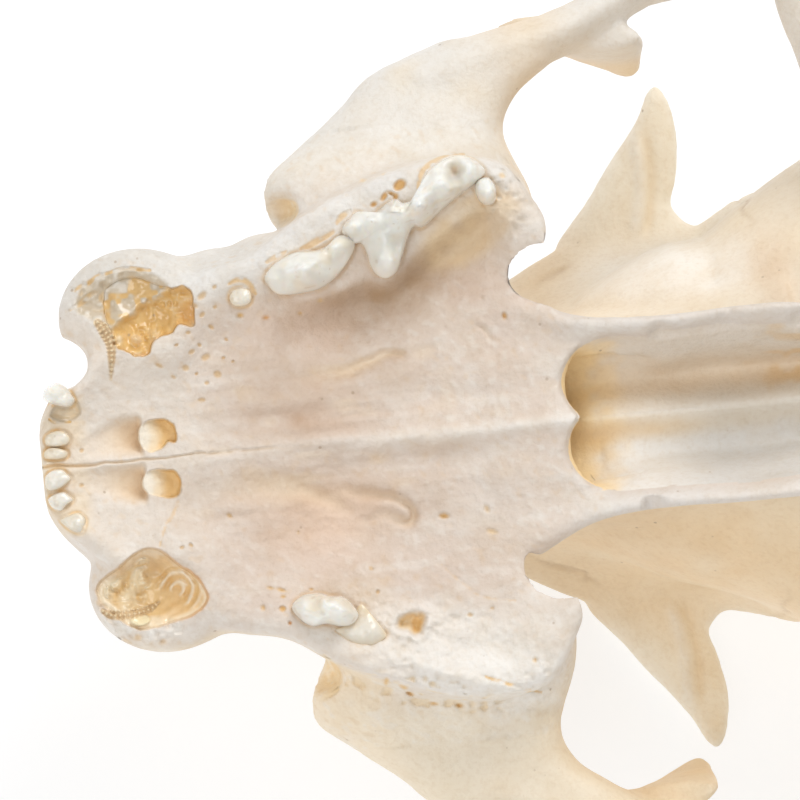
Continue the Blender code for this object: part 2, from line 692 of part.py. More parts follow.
def whole_skull():
    """All the bone in one closed piece, but for the ear capsules."""
    jaw_forms = new_collection("jaw_forms")
    muzzle(jaw_forms)
    palate_shelf(jaw_forms)
    for word, side in SIDES.items():
        cheek_root(side, word, jaw_forms)
    for centre, half, turn in SWOLLEN_LEFT:
        ellipsoid("swollen_form", centre, half, jaw_forms, turn, segments=16, rings=12)
    jaw = joined("jaw", jaw_forms)
    jaw_cutters = new_collection("jaw_cutters")
    jaw_hollows(jaw_cutters)
    boolean(jaw, jaw_cutters, "DIFFERENCE")
    forms = new_collection("forms")
    braincase(forms)
    skull_base(forms)
    forehead(forms)
    crests(forms)
    for word, side in SIDES.items():
        paired_forms(side, word, forms)
    boolean(jaw, forms, "UNION")
    cutters = new_collection("cutters")
    hollows(cutters)
    throat_hollows(cutters)
    boolean(jaw, cutters, "DIFFERENCE")
    blended(jaw, BLEND_CELL, BLEND_ROUNDS, BONE_TRIANGLES)
    crowns = new_collection("crowns")
    teeth(crowns)
    boolean(jaw, crowns, "UNION")
    return jaw


def cut_slab(name, cut, side, collection):
    centre, half, (lean, turn) = cut
    place = Matrix.Rotation(math.radians(turn) * side, 4, "Z") @ Matrix.Rotation(math.radians(lean), 4, "Y")
    slab(name, sided(centre, side), half, collection, place)


def bone_cuts(collection):
    """Thin gaps along which the skull comes apart into its bones."""
    cut_slab("jaw_gap", JAW_CUT, 1.0, collection)
    cut_slab("crown_gap", CROWN_CUT, 1.0, collection)
    cut_slab("nape_gap", NAPE_CUT, 1.0, collection)
    centre, half, turn = CAPSULE
    roomy = tuple(size + SUTURE for size in half)
    for side in SIDES.values():
        cut_slab("cheek_gap", CHEEK_CUT, side, collection)
        cut_slab("ear_gap", EAR_CUT, side, collection)
        ellipsoid("capsule_gap", sided(centre, side), roomy, collection, turn * side)
        opening, opening_half = EAR_OPENING
        ellipsoid("ear_opening_cut", sided(opening, side), opening_half, collection, segments=12, rings=8)


def bones_of(whole, parts):
    """Parts the cut skull into its bones, each its own named object."""
    shell = mesh_of(whole)
    for surface in closed_surfaces(shell):
        if volume(surface) < 6 * SCRAP:
            continue
        points = sorted({vertex for face in surface for vertex in face.verts}, key=lambda v: v.index)
        number = {vertex: i for i, vertex in enumerate(points)}
        middle = sum((vertex.co for vertex in points), Vector()) / len(points)
        name = min(BONES, key=lambda bone: (middle - Vector(BONES[bone])).length)
        mesh = bpy.data.meshes.new(name)
        faces = [[number[vertex] for vertex in face.verts] for face in surface]
        mesh.from_pydata([vertex.co[:] for vertex in points], [], faces)
        parts.objects.link(bpy.data.objects.new(name, mesh))
    shell.free()
    bpy.data.objects.remove(whole, do_unlink=True)


def halved_jaw(parts):
    """Parts the upper jaw along the middle of the palate into its left and right bones."""
    jaw = parts.objects["upper_jaw"]
    for word, side in SIDES.items():
        half = bpy.data.objects.new("upper_jaw_" + word, jaw.data.copy())
        parts.objects.link(half)
        other = new_collection("other_half")
        slab("other_half_cut", (20.0, -side * (25.0 - SUTURE / 2), 10.0), (40.0, 25.0, 40.0), other)
        boolean(half, other, "DIFFERENCE")
        keep_largest(half)
    bpy.data.objects.remove(jaw, do_unlink=True)


def capsules(parts):
    """The two ear capsules, blown up like eggs, each open at the ear."""
    centre, half, turn = CAPSULE
    for word, side in SIDES.items():
        name = "ear_capsule_" + word
        ellipsoid(name, sided(centre, side), half, parts, turn * side, segments=24, rings=16)
        opening, opening_half = EAR_OPENING
        cutters = new_collection("capsule_cutters")
        ellipsoid("capsule_opening_cut", sided(opening, side), opening_half, cutters, segments=12, rings=8)
        boolean(parts.objects[name], cutters, "DIFFERENCE")


def rest_pose():
    """From the skull's directions in millimetres to the floor's in metres, palate up."""
    over = Matrix.Diagonal((1.0, -1.0, -1.0, 1.0))
    lean = Matrix.Rotation(REST_PITCH, 4, "Y") @ Matrix.Rotation(REST_ROLL, 4, "X")
    return Matrix.Translation(Vector(REST_SHIFT) * MM) @ Matrix.Scale(MM, 4) @ lean @ over


def laid_down(parts):
    """Sets every bone as it rests and cuts the small flats that touch the floor."""
    pose = rest_pose()
    for obj in list(parts.objects):
        obj.data.transform(pose)
        lowest = min(vertex.co.z for vertex in obj.data.vertices)
        if lowest < 0.0:
            floor = new_collection("floor")
            slab("floor_cut", *FLOOR_CUT, floor)
            boolean(obj, floor, "DIFFERENCE")
            keep_largest(obj)


def coloured(parts):
    for obj in parts.objects:
        kind = next(word for word in BONE_COLOURS if obj.name.startswith(word))
        material = bpy.data.materials.new(obj.name + "_bone")
        material.use_nodes = True
        surface = material.node_tree.nodes["Principled BSDF"]
        surface.inputs["Base Color"].default_value = (*BONE_COLOURS[kind], 1.0)
        surface.inputs["Roughness"].default_value = 0.55
        surface.inputs["Metallic"].default_value = 0.0
        obj.data.materials.clear()
        obj.data.materials.append(material)
        obj.data.shade_smooth()
        obj.data.set_sharp_from_angle(angle=math.radians(45.0))


def main():
    clear_scene()
    parts = new_collection("cat_skull")
    whole = whole_skull()
    gaps = new_collection("gaps")
    bone_cuts(gaps)
    boolean(whole, gaps, "DIFFERENCE")
    bones_of(whole, parts)
    halved_jaw(parts)
    capsules(parts)
    laid_down(parts)
    coloured(parts)


main()
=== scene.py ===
"""The skull of an old cat without its lower jaw, lying palate up, as a museum would keep it.

The bone is modelled in the skull's own directions, in millimetres: a runs rearward from
the front teeth, l to the animal's right, and h up from the palate to the roof. The
finished pieces are turned over and laid down on the floor, in metres.
"""

import json
import math

import bpy
import numpy as np
from mathutils import Matrix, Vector
from mathutils.kdtree import KDTree

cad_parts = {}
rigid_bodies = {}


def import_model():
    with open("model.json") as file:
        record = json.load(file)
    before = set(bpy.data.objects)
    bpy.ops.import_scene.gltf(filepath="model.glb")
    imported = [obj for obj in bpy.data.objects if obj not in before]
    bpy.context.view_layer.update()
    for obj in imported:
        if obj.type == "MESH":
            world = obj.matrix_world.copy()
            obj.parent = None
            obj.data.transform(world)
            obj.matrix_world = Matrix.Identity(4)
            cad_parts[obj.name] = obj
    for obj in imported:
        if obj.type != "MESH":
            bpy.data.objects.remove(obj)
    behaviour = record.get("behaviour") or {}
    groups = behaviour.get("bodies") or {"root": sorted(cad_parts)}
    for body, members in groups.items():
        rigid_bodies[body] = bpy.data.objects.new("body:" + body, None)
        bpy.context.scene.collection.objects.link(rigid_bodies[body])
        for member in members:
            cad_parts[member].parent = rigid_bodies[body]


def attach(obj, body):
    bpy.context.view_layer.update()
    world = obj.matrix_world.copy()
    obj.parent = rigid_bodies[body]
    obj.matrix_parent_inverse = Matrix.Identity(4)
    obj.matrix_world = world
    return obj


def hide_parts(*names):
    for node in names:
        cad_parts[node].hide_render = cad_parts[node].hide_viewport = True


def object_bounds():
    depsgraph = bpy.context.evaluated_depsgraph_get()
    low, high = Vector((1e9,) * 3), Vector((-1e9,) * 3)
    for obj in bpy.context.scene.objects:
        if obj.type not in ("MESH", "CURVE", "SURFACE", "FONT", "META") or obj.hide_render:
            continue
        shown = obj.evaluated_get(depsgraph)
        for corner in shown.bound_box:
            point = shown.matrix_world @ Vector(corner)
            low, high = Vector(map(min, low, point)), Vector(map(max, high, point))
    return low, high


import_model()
solid_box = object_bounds()


# The floor, light and camera.
# The skull lies on the roof of its braincase, leaning to its right with the snout low,
# on white board under soft white light, and the camera looks straight at the palate.
LIE_ROLL = math.radians(16.0)
LIE_PITCH = math.radians(-11.0)
LIE_SHIFT = (-46.67, -3.59, 27.53)
VIEW_TILT = math.radians(1.7)
VIEW_UP = (0.0954, -0.9954, 0.0)
VIEW_MIDDLE = (24.0, -2.2, 0.0)
VIEW_DISTANCE = 400.0
VIEW_LENS = 270.0

LYING = np.array(
    Matrix.Rotation(LIE_PITCH, 3, "Y") @ Matrix.Rotation(LIE_ROLL, 3, "X") @ Matrix.Diagonal((1, -1, -1))
)


def laid(points):
    """Millimetres in the skull's directions to metres on the floor: a turn, then a shift."""
    return (np.asarray(points, float) @ LYING.T + LIE_SHIFT) * 0.001


def camera_at(name, middle, direction, up, distance, lens):
    """Camera at the distance along the direction from the middle, its top towards up."""
    back = LYING @ direction
    across = np.cross(LYING @ up, back)
    across /= np.linalg.norm(across)
    place = laid(middle) + back * distance * 0.001
    turn = np.column_stack([across, np.cross(back, across), back])
    data = bpy.data.cameras.new(name)
    data.lens = lens
    data.sensor_width = 36.0
    data.clip_start = 0.01
    camera = bpy.data.objects.new(name, data)
    camera.matrix_world = Matrix.LocRotScale(place.tolist(), Matrix(turn.tolist()), None)
    bpy.context.scene.collection.objects.link(camera)
    return camera


def soft_light(name, place, target, size, power, colour):
    """Square panel of light of the given size in metres, facing the target."""
    data = bpy.data.lights.new(name, "AREA")
    data.size = size
    data.energy = power
    data.color = colour
    light = bpy.data.objects.new(name, data)
    back = np.subtract(place, target)
    back = back / np.linalg.norm(back)
    across = np.cross((0.0, 1.0, 0.0), back)
    across /= np.linalg.norm(across)
    turn = np.column_stack([across, np.cross(back, across), back])
    light.matrix_world = Matrix.LocRotScale(place, Matrix(turn.tolist()), None)
    bpy.context.scene.collection.objects.link(light)


direction = np.array((0.0, math.sin(VIEW_TILT), -math.cos(VIEW_TILT)))
bpy.context.scene.camera = camera_at("camera", VIEW_MIDDLE, direction, VIEW_UP, VIEW_DISTANCE, VIEW_LENS)
soft_light("overhead_light", (0.3, 0.68, 0.85), (0.0, 0.0, 0.0), 0.7, 6.1, (1.0, 1.0, 1.0))
soft_light("small_light", (0.10, 0.45, 1.0), (0.0, 0.0, 0.0), 0.09, 0.5, (1.0, 1.0, 1.0))
soft_light("fill_light", (-0.55, -0.5, 0.9), (0.0, 0.0, 0.0), 0.8, 3.9, (1.0, 0.995, 0.985))

world = bpy.data.worlds.new("studio")
world.use_nodes = True
world.node_tree.nodes["Background"].inputs["Color"].default_value = (1.0, 0.98, 0.94, 1.0)
world.node_tree.nodes["Background"].inputs["Strength"].default_value = 0.52
bpy.context.scene.world = world
bpy.context.scene.view_settings.view_transform = "Standard"


def floor_board(half):
    """Level square of the given half size in metres."""
    mesh = bpy.data.meshes.new("floor_board")
    corners = [(-half, -half, 0.0), (half, -half, 0.0), (half, half, 0.0), (-half, half, 0.0)]
    mesh.from_pydata(corners, [], [(0, 1, 2, 3)])
    paint = bpy.data.materials.new("white_board")
    paint.use_nodes = True
    surface = paint.node_tree.nodes["Principled BSDF"]
    surface.inputs["Base Color"].default_value = (0.40, 0.41, 0.43, 1.0)
    surface.inputs["Roughness"].default_value = 0.9
    surface.inputs["Emission Color"].default_value = (1.0, 1.0, 1.0, 1.0)
    surface.inputs["Emission Strength"].default_value = 0.66
    mesh.materials.append(paint)
    board = bpy.data.objects.new("floor_board", mesh)
    bpy.context.scene.collection.objects.link(board)
    return board


floor_board(2.0)


# The braincase, forehead and base.
# The rounded case behind the eyes and the narrow walls between them, thin plates of bone
# grown together. Each is a row of cross sections, later run into one skin with the rest.
BRAINCASE = (  # place, half width, underside, top
    (37.0, 9.0, 14.0, 33.2),
    (42.0, 11.5, 11.0, 36.2),
    (47.0, 13.3, 9.5, 38.0),
    (53.5, 17.0, 8.6, 39.3),
    (60.0, 20.3, 8.0, 39.6),
    (66.0, 21.6, 7.0, 38.8),
    (72.0, 21.0, 6.0, 36.9),
    (78.0, 18.6, 5.5, 33.8),
    (83.0, 14.5, 6.5, 30.4),
    (86.6, 8.6, 11.5, 27.0),
    (88.4, 2.8, 17.0, 23.5),
)
BASE = (  # place, half width, underside, top
    (44.0, 5.4, 9.4, 14.0),
    (50.0, 7.4, 8.6, 14.0),
    (58.0, 8.0, 7.6, 14.0),
    (68.0, 7.2, 5.6, 12.0),
    (77.0, 7.8, 4.4, 10.0),
    (82.5, 6.4, 5.0, 9.0),
)
FOREHEAD = (  # place, roof, brow rim out and up, wall, foot, underside
    (17.0, 23.4, 7.4, 21.6, 7.6, 6.0, 10.0),
    (24.0, 27.6, 9.3, 25.6, 7.6, 6.4, 7.0),
    (30.0, 31.0, 9.7, 28.4, 6.8, 6.3, 5.0),
    (35.0, 33.6, 12.2, 30.2, 7.2, 6.3, 6.0),
    (40.0, 36.0, 14.6, 31.4, 8.8, 6.2, 8.0),
    (45.0, 37.6, 13.9, 31.4, 11.0, 7.0, 8.5),
    (51.0, 38.8, 15.2, 30.0, 14.6, 9.0, 8.5),
)


def through(keys, places):
    """Values at the places on the smooth cubic curve through the keys, each a place and its values."""
    keys = np.asarray(keys, float)
    x, y = keys[:, 0], keys[:, 1:]
    slope = np.gradient(y, x, axis=0)
    places = np.clip(places, x[0], x[-1])
    i = np.clip(np.searchsorted(x, places) - 1, 0, len(x) - 2)
    width = (x[i + 1] - x[i])[:, None]
    t = (places - x[i])[:, None] / width
    rise = y[i] * (1 + 2 * t) * (1 - t) ** 2 + y[i + 1] * t * t * (3 - 2 * t)
    return rise + width * (slope[i] * t * (1 - t) ** 2 - slope[i + 1] * t * t * (1 - t))


def skin(name, rings, forms):
    """Closed surface over a row of like rings: quads from ring to ring and a face at each end."""
    rows, around, _ = rings.shape
    i, j = np.meshgrid(np.arange(rows - 1), np.arange(around), indexing="ij")
    k = (j + 1) % around
    quads = np.stack([i * around + j, i * around + k, (i + 1) * around + k, (i + 1) * around + j], axis=-1)
    quads = quads.reshape(-1, 4)
    first, last = np.arange(around)[::-1], np.arange((rows - 1) * around, rows * around)
    points = rings.reshape(-1, 3)
    a, b, c, d = (points[quads[:, n]] for n in range(4))
    if np.sum(np.cross(b - a, c - a) * a) + np.sum(np.cross(c - a, d - a) * a) < 0:
        quads, first, last = quads[:, ::-1], first[::-1], last[::-1]
    mesh = bpy.data.meshes.new(name)
    mesh.from_pydata(points.tolist(), [], quads.tolist() + [first.tolist(), last.tolist()])
    form = bpy.data.objects.new(name, mesh)
    forms.objects.link(form)
    return form


def ovals(centres, across, along, around, squareness=2.0):
    """Rings about the centres: a superellipse of the half sizes across and along, as vectors."""
    angle = np.arange(around) * 2 * np.pi / around
    cosine = np.sign(np.cos(angle)) * np.abs(np.cos(angle)) ** (2 / squareness)
    sine = np.sign(np.sin(angle)) * np.abs(np.sin(angle)) ** (2 / squareness)
    return (
        centres[:, None]
        + across[:, None] * cosine[None, :, None]
        + along[:, None] * sine[None, :, None]
    )


def upright_row(name, keys, rows, around, squareness, forms):
    """Row of superellipses along the midline, each of a half width, an underside and a top."""
    places = np.linspace(keys[0][0], keys[-1][0], rows)
    width, low, top = through(keys, places).T
    none = np.zeros(rows)
    centres = np.stack([places, none, (low + top) / 2], axis=1)
    across, along = np.stack([none, width, none], axis=1), np.stack([none, none, (top - low) / 2], axis=1)
    skin(name, ovals(centres, across, along, around, squareness), forms)


def mirrored_ring(half, per_span):
    """Smooth closed ring through a half outline, roof to underside, and its mirror image."""
    right = np.asarray(half, float)
    points = np.vstack([right, right[-2:0:-1] * (-1, 1)])
    count = len(points)
    keys = np.column_stack([np.arange(-2, count + 3), np.vstack([points[-2:], points, points[:3]])])
    return through(keys, np.arange(count * per_span) / per_span)


def profile_row(name, keys, outline, rows, forms):
    """Row of mirrored rings along the midline, each from its own row of sizes."""
    places = np.linspace(keys[0][0], keys[-1][0], rows)
    rings = []
    for place, sizes in zip(places, through(keys, places)):
        ring = mirrored_ring(outline(*sizes), 5)
        rings.append(np.column_stack([np.full(len(ring), place), ring]))
    skin(name, np.array(rings), forms)


def forehead_outline(roof, rim_out, rim_up, wall, foot, under):
    """Roof, brow rim, the hollow wall beside the eye, and the foot over the throat passage."""
    return (
        (0, roof),
        (0.6 * rim_out, roof - 0.22 * (roof - rim_up)),
        (rim_out, rim_up),
        (0.45 * rim_out + 0.55 * wall, rim_up - 4.4),
        (wall, 0.5 * (rim_up + under)),
        (foot, under + 2.5),
        (0.65 * foot, under),
        (0, under),
    )


cranium_forms = bpy.data.collections.new("cranium_forms")
bpy.context.scene.collection.children.link(cranium_forms)
upright_row("braincase_form", BRAINCASE, 90, 96, 2.25, cranium_forms)
upright_row("base_form", BASE, 40, 48, 2.6, cranium_forms)
profile_row("forehead_form", FOREHEAD, forehead_outline, 60, cranium_forms)


# The brow horns, wings of the palate, cheek arches, ear roots and knobs.
# Slender bars and blades of bone that grow from the case on both sides. Each is an oval
# carried along a curved path, and the knobs for muscles and neck are egg shapes.
SIDES = {"left": -1.0, "right": 1.0}
BROW_HORN = (  # part of the way, centre, half breadth, half thickness
    (0.0, 41.2, 8.5, 31.8, 6.6, 3.2),
    (0.28, 41.3, 13.0, 31.2, 5.2, 2.6),
    (0.46, 41.7, 16.0, 30.6, 2.9, 2.0),
    (0.62, 42.8, 18.3, 29.9, 2.25, 1.6),
    (0.78, 43.7, 20.6, 29.0, 1.6, 1.3),
    (1.0, 44.0, 23.8, 27.4, 0.5, 0.5),
)
WING = (  # part of the way, centre, half thickness, half height
    (0.0, 31.5, 6.8, 5.6, 1.7, 4.4),
    (0.18, 35.6, 5.0, 5.2, 1.3, 4.8),
    (0.42, 41.0, 4.4, 5.3, 0.95, 5.0),
    (0.66, 46.8, 4.6, 5.2, 0.9, 4.9),
    (0.88, 52.0, 4.5, 4.6, 0.9, 4.4),
    (1.0, 55.2, 4.4, 3.4, 0.6, 2.6),
)
WING_LEAN = (0.0, -0.34, 1.0)
WING_SHIFT = {"left": (0.0, 0.0), "right": (0.0, 0.35)}
ARCH = (  # part of the way, centre, half thickness, half height
    (0.00, 27.0, 23.6, 10.0, 1.9, 3.9),
    (0.16, 32.0, 25.2, 10.6, 1.8, 4.1),
    (0.32, 37.3, 26.6, 11.6, 1.6, 4.0),
    (0.48, 43.3, 29.4, 13.0, 1.4, 3.6),
    (0.62, 48.5, 31.3, 14.0, 1.3, 3.5),
    (0.76, 53.5, 31.9, 14.2, 1.3, 3.6),
    (0.88, 57.8, 30.0, 13.6, 1.5, 3.2),
    (1.00, 60.4, 26.0, 12.8, 1.8, 2.8),
)
CHEEK_SPUR = (  # part of the way, centre, half length, half thickness
    (0.0, 37.8, 26.6, 12.0, 5.6, 1.3),
    (0.4, 39.7, 26.0, 15.8, 4.0, 1.1),
    (0.75, 41.3, 25.1, 19.0, 2.0, 0.9),
    (1.0, 42.4, 24.2, 21.4, 0.6, 0.5),
)
EAR_ROOT = (  # place outward, place, height, half length, half height
    (8.0, 60.5, 15.0, 5.0, 4.5),
    (14.0, 60.2, 13.0, 5.4, 4.2),
    (18.5, 59.7, 12.2, 5.0, 3.2),
    (23.0, 58.5, 12.4, 5.0, 2.6),
    (28.0, 57.3, 13.0, 5.0, 2.5),
    (31.4, 55.8, 13.6, 3.4, 2.3),
)
CHEEK_OUTWARD = {"left": 0.0, "right": 0.7}
SPUR_SHIFT = {"left": (0.0, 0.0), "right": (0.2, 0.25)}
HORN_SHIFT = {"left": (0.3, 0.0), "right": (0.1, 0.0)}
KNOBS = (  # centre, half sizes, turn in plan
    ((62.6, 20.6, 9.6), (1.5, 4.6, 3.4), 0.0),
    ((76.4, 17.6, 10.4), (4.6, 3.0, 6.0), 0.0),
    ((78.6, 14.4, 4.8), (1.8, 2.4, 3.6), 0.0),
    ((81.6, 6.5, 6.6), (3.6, 2.9, 4.8), 0.4),
    ((66.8, 12.7, 7.0), (10.4, 6.3, 6.4), math.radians(12.0)),
)
NAPE_CREST = ((84.2, 0.0, 17.4), (2.1, 16.8, 13.2), math.radians(24.0))
CROWN_RIDGE = ((0.0, 62.0, 0, 37.6, 1.0, 2.0), (0.5, 76.0, 0, 33.4, 1.0, 2.2), (1.0, 88.4, 0, 27.6, 1.0, 1.8))


def bar(name, keys, side, upright, front, rear, forms, rows=60, around=28):
    """Ovals along the smooth path of the keys, their ends closed over a share of the way."""
    way = 0.5 - 0.5 * np.cos(np.linspace(0, np.pi, rows))
    sizes = through(keys, way)
    centres = sizes[:, :3] * (1, side, 1)
    closing = np.ones(rows)
    if front:
        closing *= np.sqrt(1 - np.clip((front - way) / front, 0, 0.998) ** 2)
    if rear:
        closing *= np.sqrt(1 - np.clip((way - 1 + rear) / rear, 0, 0.998) ** 2)
    course = np.gradient(centres, axis=0)
    course /= np.linalg.norm(course, axis=1)[:, None]
    across = np.cross(course, np.asarray(upright, float) * (1, side, 1))
    across /= np.linalg.norm(across, axis=1)[:, None]
    along = np.cross(across, course)
    wide, tall = (sizes[:, 3] * closing)[:, None], (sizes[:, 4] * closing)[:, None]
    return skin(name, ovals(centres, across * wide, along * tall, around), forms)


def egg(name, centre, half, forms, turn=0.0, lean=0.0, around=48, rows=32):
    """Ellipsoid by latitude and longitude, its half sizes turned in plan and leaned."""
    latitude = np.linspace(0.02, np.pi - 0.02, rows)[:, None]
    longitude = np.arange(around)[None, :] * 2 * np.pi / around
    ball = np.stack(
        [
            np.sin(latitude) * np.cos(longitude),
            np.sin(latitude) * np.sin(longitude),
            np.cos(latitude) + 0 * longitude,
        ],
        axis=-1,
    )
    set_round = np.array(Matrix.Rotation(turn, 3, "Z") @ Matrix.Rotation(lean, 3, "Y"))
    return skin(name, ball * half @ set_round.T + centre, forms)


def sided(place, side):
    """The place on the left (-1) or right (1) side."""
    return (place[0], place[1] * side, place[2])


def moved(keys, rearward, outward):
    """A bar's keys with their centres moved."""
    return [(t, a + rearward, l + outward, *rest) for t, a, l, *rest in keys]


def ear_root(side, forms):
    """Oval bar from the case out to the rear end of the cheek arch."""
    places = np.linspace(EAR_ROOT[0][0], EAR_ROOT[-1][0], 30)
    centre, up, length, height = through(EAR_ROOT, places).T
    none = np.zeros(len(places))
    centres = np.stack([centre, places * side, up], axis=1)
    across, along = np.stack([length, none, none], axis=1), np.stack([none, none, height], axis=1)
    skin("ear_root_form", ovals(centres, across, along, 40, 2.4), forms)


for word, side in SIDES.items():
    bar("brow_horn_form", moved(BROW_HORN, *HORN_SHIFT[word]), side, (0, 0, 1), 0.0, 0.08, cranium_forms)
    bar("wing_form", moved(WING, *WING_SHIFT[word]), side, WING_LEAN, 0.0, 0.06, cranium_forms)
    bar("arch_form", moved(ARCH, 0.0, CHEEK_OUTWARD[word]), side, (0, 0, 1), 0.0, 0.0, cranium_forms)
    bar("spur_form", moved(CHEEK_SPUR, *SPUR_SHIFT[word]), side, (0.2, 1, 0), 0.0, 0.1, cranium_forms)
    ear_root(side, cranium_forms)
    for knob, (centre, half, turn) in enumerate(KNOBS):
        egg(f"knob_{knob}_form", sided(centre, side), half, cranium_forms, turn * side)
egg("nape_form", *NAPE_CREST[:2], cranium_forms, 0.0, NAPE_CREST[2], 72, 40)
bar("crown_ridge_form", CROWN_RIDGE, 1.0, (0, 0, 1), 0.1, 0.0, cranium_forms)


# The upper jaw.
# Snout, palate and cheek roots, the strong bone that holds the teeth, with the swellings
# over the roots of the eye teeth. Egg shapes are taken out of it for eyes and throat.
MUZZLE = (  # place, roof, roof half width, side half width, tooth border, palate depth
    (-0.25, 6.0, 2.2, 3.0, 2.4, 0.6),
    (0.35, 7.4, 3.2, 4.3, 3.5, 0.7),
    (1.1, 8.9, 4.0, 5.3, 4.6, 0.85),
    (2.2, 10.8, 4.9, 6.5, 5.7, 1.0),
    (5.0, 15.6, 5.8, 8.2, 8.4, 1.3),
    (8.0, 18.8, 6.3, 9.4, 10.8, 1.6),
    (12.0, 21.0, 6.6, 10.6, 12.2, 1.9),
    (15.0, 22.4, 7.0, 12.0, 12.9, 2.1),
    (18.0, 23.6, 7.6, 13.2, 14.8, 2.2),
    (22.0, 24.6, 8.2, 13.8, 16.6, 2.3),
    (26.0, 23.0, 8.0, 14.6, 17.8, 2.2),
    (30.0, 15.5, 8.0, 15.6, 18.0, 2.0),
    (33.0, 11.0, 7.6, 14.8, 16.6, 1.7),
    (34.8, 8.4, 6.6, 11.6, 13.4, 1.5),
)
CANINE_BULGE = (  # part of the way, centre, half length, half width
    (0.0, 6.5, 9.3, -0.1, 4.5, 4.0),
    (0.2, 6.9, 9.3, 2.4, 5.2, 4.6),
    (0.5, 9.0, 9.0, 7.5, 4.9, 4.0),
    (0.8, 12.2, 7.7, 13.5, 4.0, 3.0),
    (1.0, 14.6, 6.9, 18.0, 2.6, 1.6),
)
CANINE_SHIFT = {"left": (-0.1, 0.25), "right": (0.25, -0.8)}
SWOLLEN_LEFT = (((12.6, -10.6, 5.8), (4.4, 3.2, 5.2), 0.0), ((15.5, -11.7, 5.4), (3.4, 2.7, 4.6), -0.3))
CHEEK_ROOT = (  # place outward, front, rear, underside, top
    (9.0, 17.6, 34.0, 2.0, 11.5),
    (14.0, 17.3, 34.4, 2.0, 13.5),
    (16.1, 16.1, 34.1, 2.9, 14.8),
    (18.1, 16.15, 33.3, 3.8, 15.2),
    (20.1, 18.5, 32.7, 5.2, 14.6),
    (22.6, 21.7, 33.9, 6.2, 14.0),
    (25.0, 24.6, 37.0, 6.8, 13.6),
    (26.6, 29.0, 38.0, 7.6, 13.0),
)
PALATE_EDGE = ((0.0, 26.5, 0, 3.6, 6.2, 0.9), (0.6, 32.5, 0, 2.1, 6.4, 1.0), (1.0, 37.6, 0, 1.8, 6.0, 0.9))
EYE_HOLLOW = ((33.4, 20.6, 22.0), (11.9, 11.6, 11.4), 0.25)
FRONT_NOTCH = ((1.65, -6.8, 1.0), (1.95, 1.8, 10.0))
PALATE_NOTCH = {
    "left": ((36.4, -10.0, 9.0), (6.65, 4.08, 10.0)),
    "right": ((35.8, 9.9, 9.0), (6.8, 4.4, 10.0)),
}
CANINE_SOCKET = {
    "left": ((8.0, -9.3, -0.4), (2.5, 1.9, 1.4)),
    "right": ((6.4, 8.8, -0.4), (3.3, 2.3, 1.9)),
}
CHEEK_PIT = {
    "left": ((17.0, -15.95, 4.6), (1.6, 1.2, 3.4)),
    "right": ((17.0, 15.6, 4.6), (1.65, 1.3, 3.4)),
}
CHEEK_HOLE = ((0.0, 13.0, 17.6, 8.6, 1.5, 2.1), (1.0, 27.0, 16.2, 12.6, 1.5, 1.9))
NOSE_HOLLOW = (
    (0.0, -3.0, 0, 12.4, 4.9, 5.4),
    (0.45, 3.5, 0, 12.4, 4.9, 5.2),
    (0.8, 8.6, 0, 13.0, 4.2, 4.0),
    (1.0, 12.0, 0, 13.4, 2.4, 2.4),
)
THROAT_HOLLOWS = (  # centre, half sizes
    ((37.0, 0.0, 5.4), (6.5, 4.7, 3.1)),
    ((38.6, 2.2, 1.0), (3.9, 3.15, 3.4)),
    ((38.6, -2.2, 1.0), (3.9, 3.15, 3.4)),
    ((85.0, 0.0, 10.4), (6.5, 6.3, 5.3)),
)
JAW_GROOVE = ((58.9, 24.0, 7.0), (3.2, 8.0, 3.2))
EAR_OPENING = ((65.6, 20.4, 9.2), (2.6, 4.6, 2.3))


def muzzle_outline(roof, roof_out, side_out, border, palate):
    """Roof, side, swelling to the tooth border, and the palate vaulted between the borders."""
    return (
        (0, roof),
        (0.6 * roof_out, roof - 0.3),
        (roof_out, roof - 0.1 * roof),
        (0.4 * roof_out + 0.6 * side_out, 0.66 * roof),
        (side_out, 0.42 * roof),
        (border, 0.2 * roof),
        (border - 0.1, 0.6),
        (border - 1.4, 0.0),
        (0.66 * border, 0.55 * palate),
        (0.3 * border, palate),
        (0, palate - 0.25),
    )


def cheek_root(side, outward, forms):
    """Squarish ovals from the jaw out to the cheek arch."""
    places = np.linspace(CHEEK_ROOT[0][0], CHEEK_ROOT[-1][0], 36)
    front, rear, low, top = through(CHEEK_ROOT, places).T
    none = np.zeros(len(places))
    centres = np.stack([(front + rear) / 2, (places + outward) * side, (low + top) / 2], axis=1)
    across = np.stack([(rear - front) / 2, none, none], axis=1)
    along = np.stack([none, none, (top - low) / 2], axis=1)
    skin("cheek_root_form", ovals(centres, across, along, 64, 2.8), forms)


def gathering(name):
    """An empty collection in the scene, for forms that work on a body."""
    group = bpy.data.collections.new(name)
    bpy.context.scene.collection.children.link(group)
    return group


def worked(body, group, operation):
    """Joins or cuts a body with a group of forms, which are then removed."""
    step = body.modifiers.new("step", "BOOLEAN")
    step.operation = operation
    step.operand_type = "COLLECTION"
    step.collection = group
    step.solver = "MANIFOLD"
    settled(body)
    for form in list(group.objects):
        bpy.data.objects.remove(form, do_unlink=True)
    bpy.data.collections.remove(group)


def settled(body):
    """Applies the body's modifiers to its mesh."""
    bpy.context.view_layer.update()
    mesh = bpy.data.meshes.new_from_object(body.evaluated_get(bpy.context.evaluated_depsgraph_get()))
    body.modifiers.clear()
    body.data = mesh


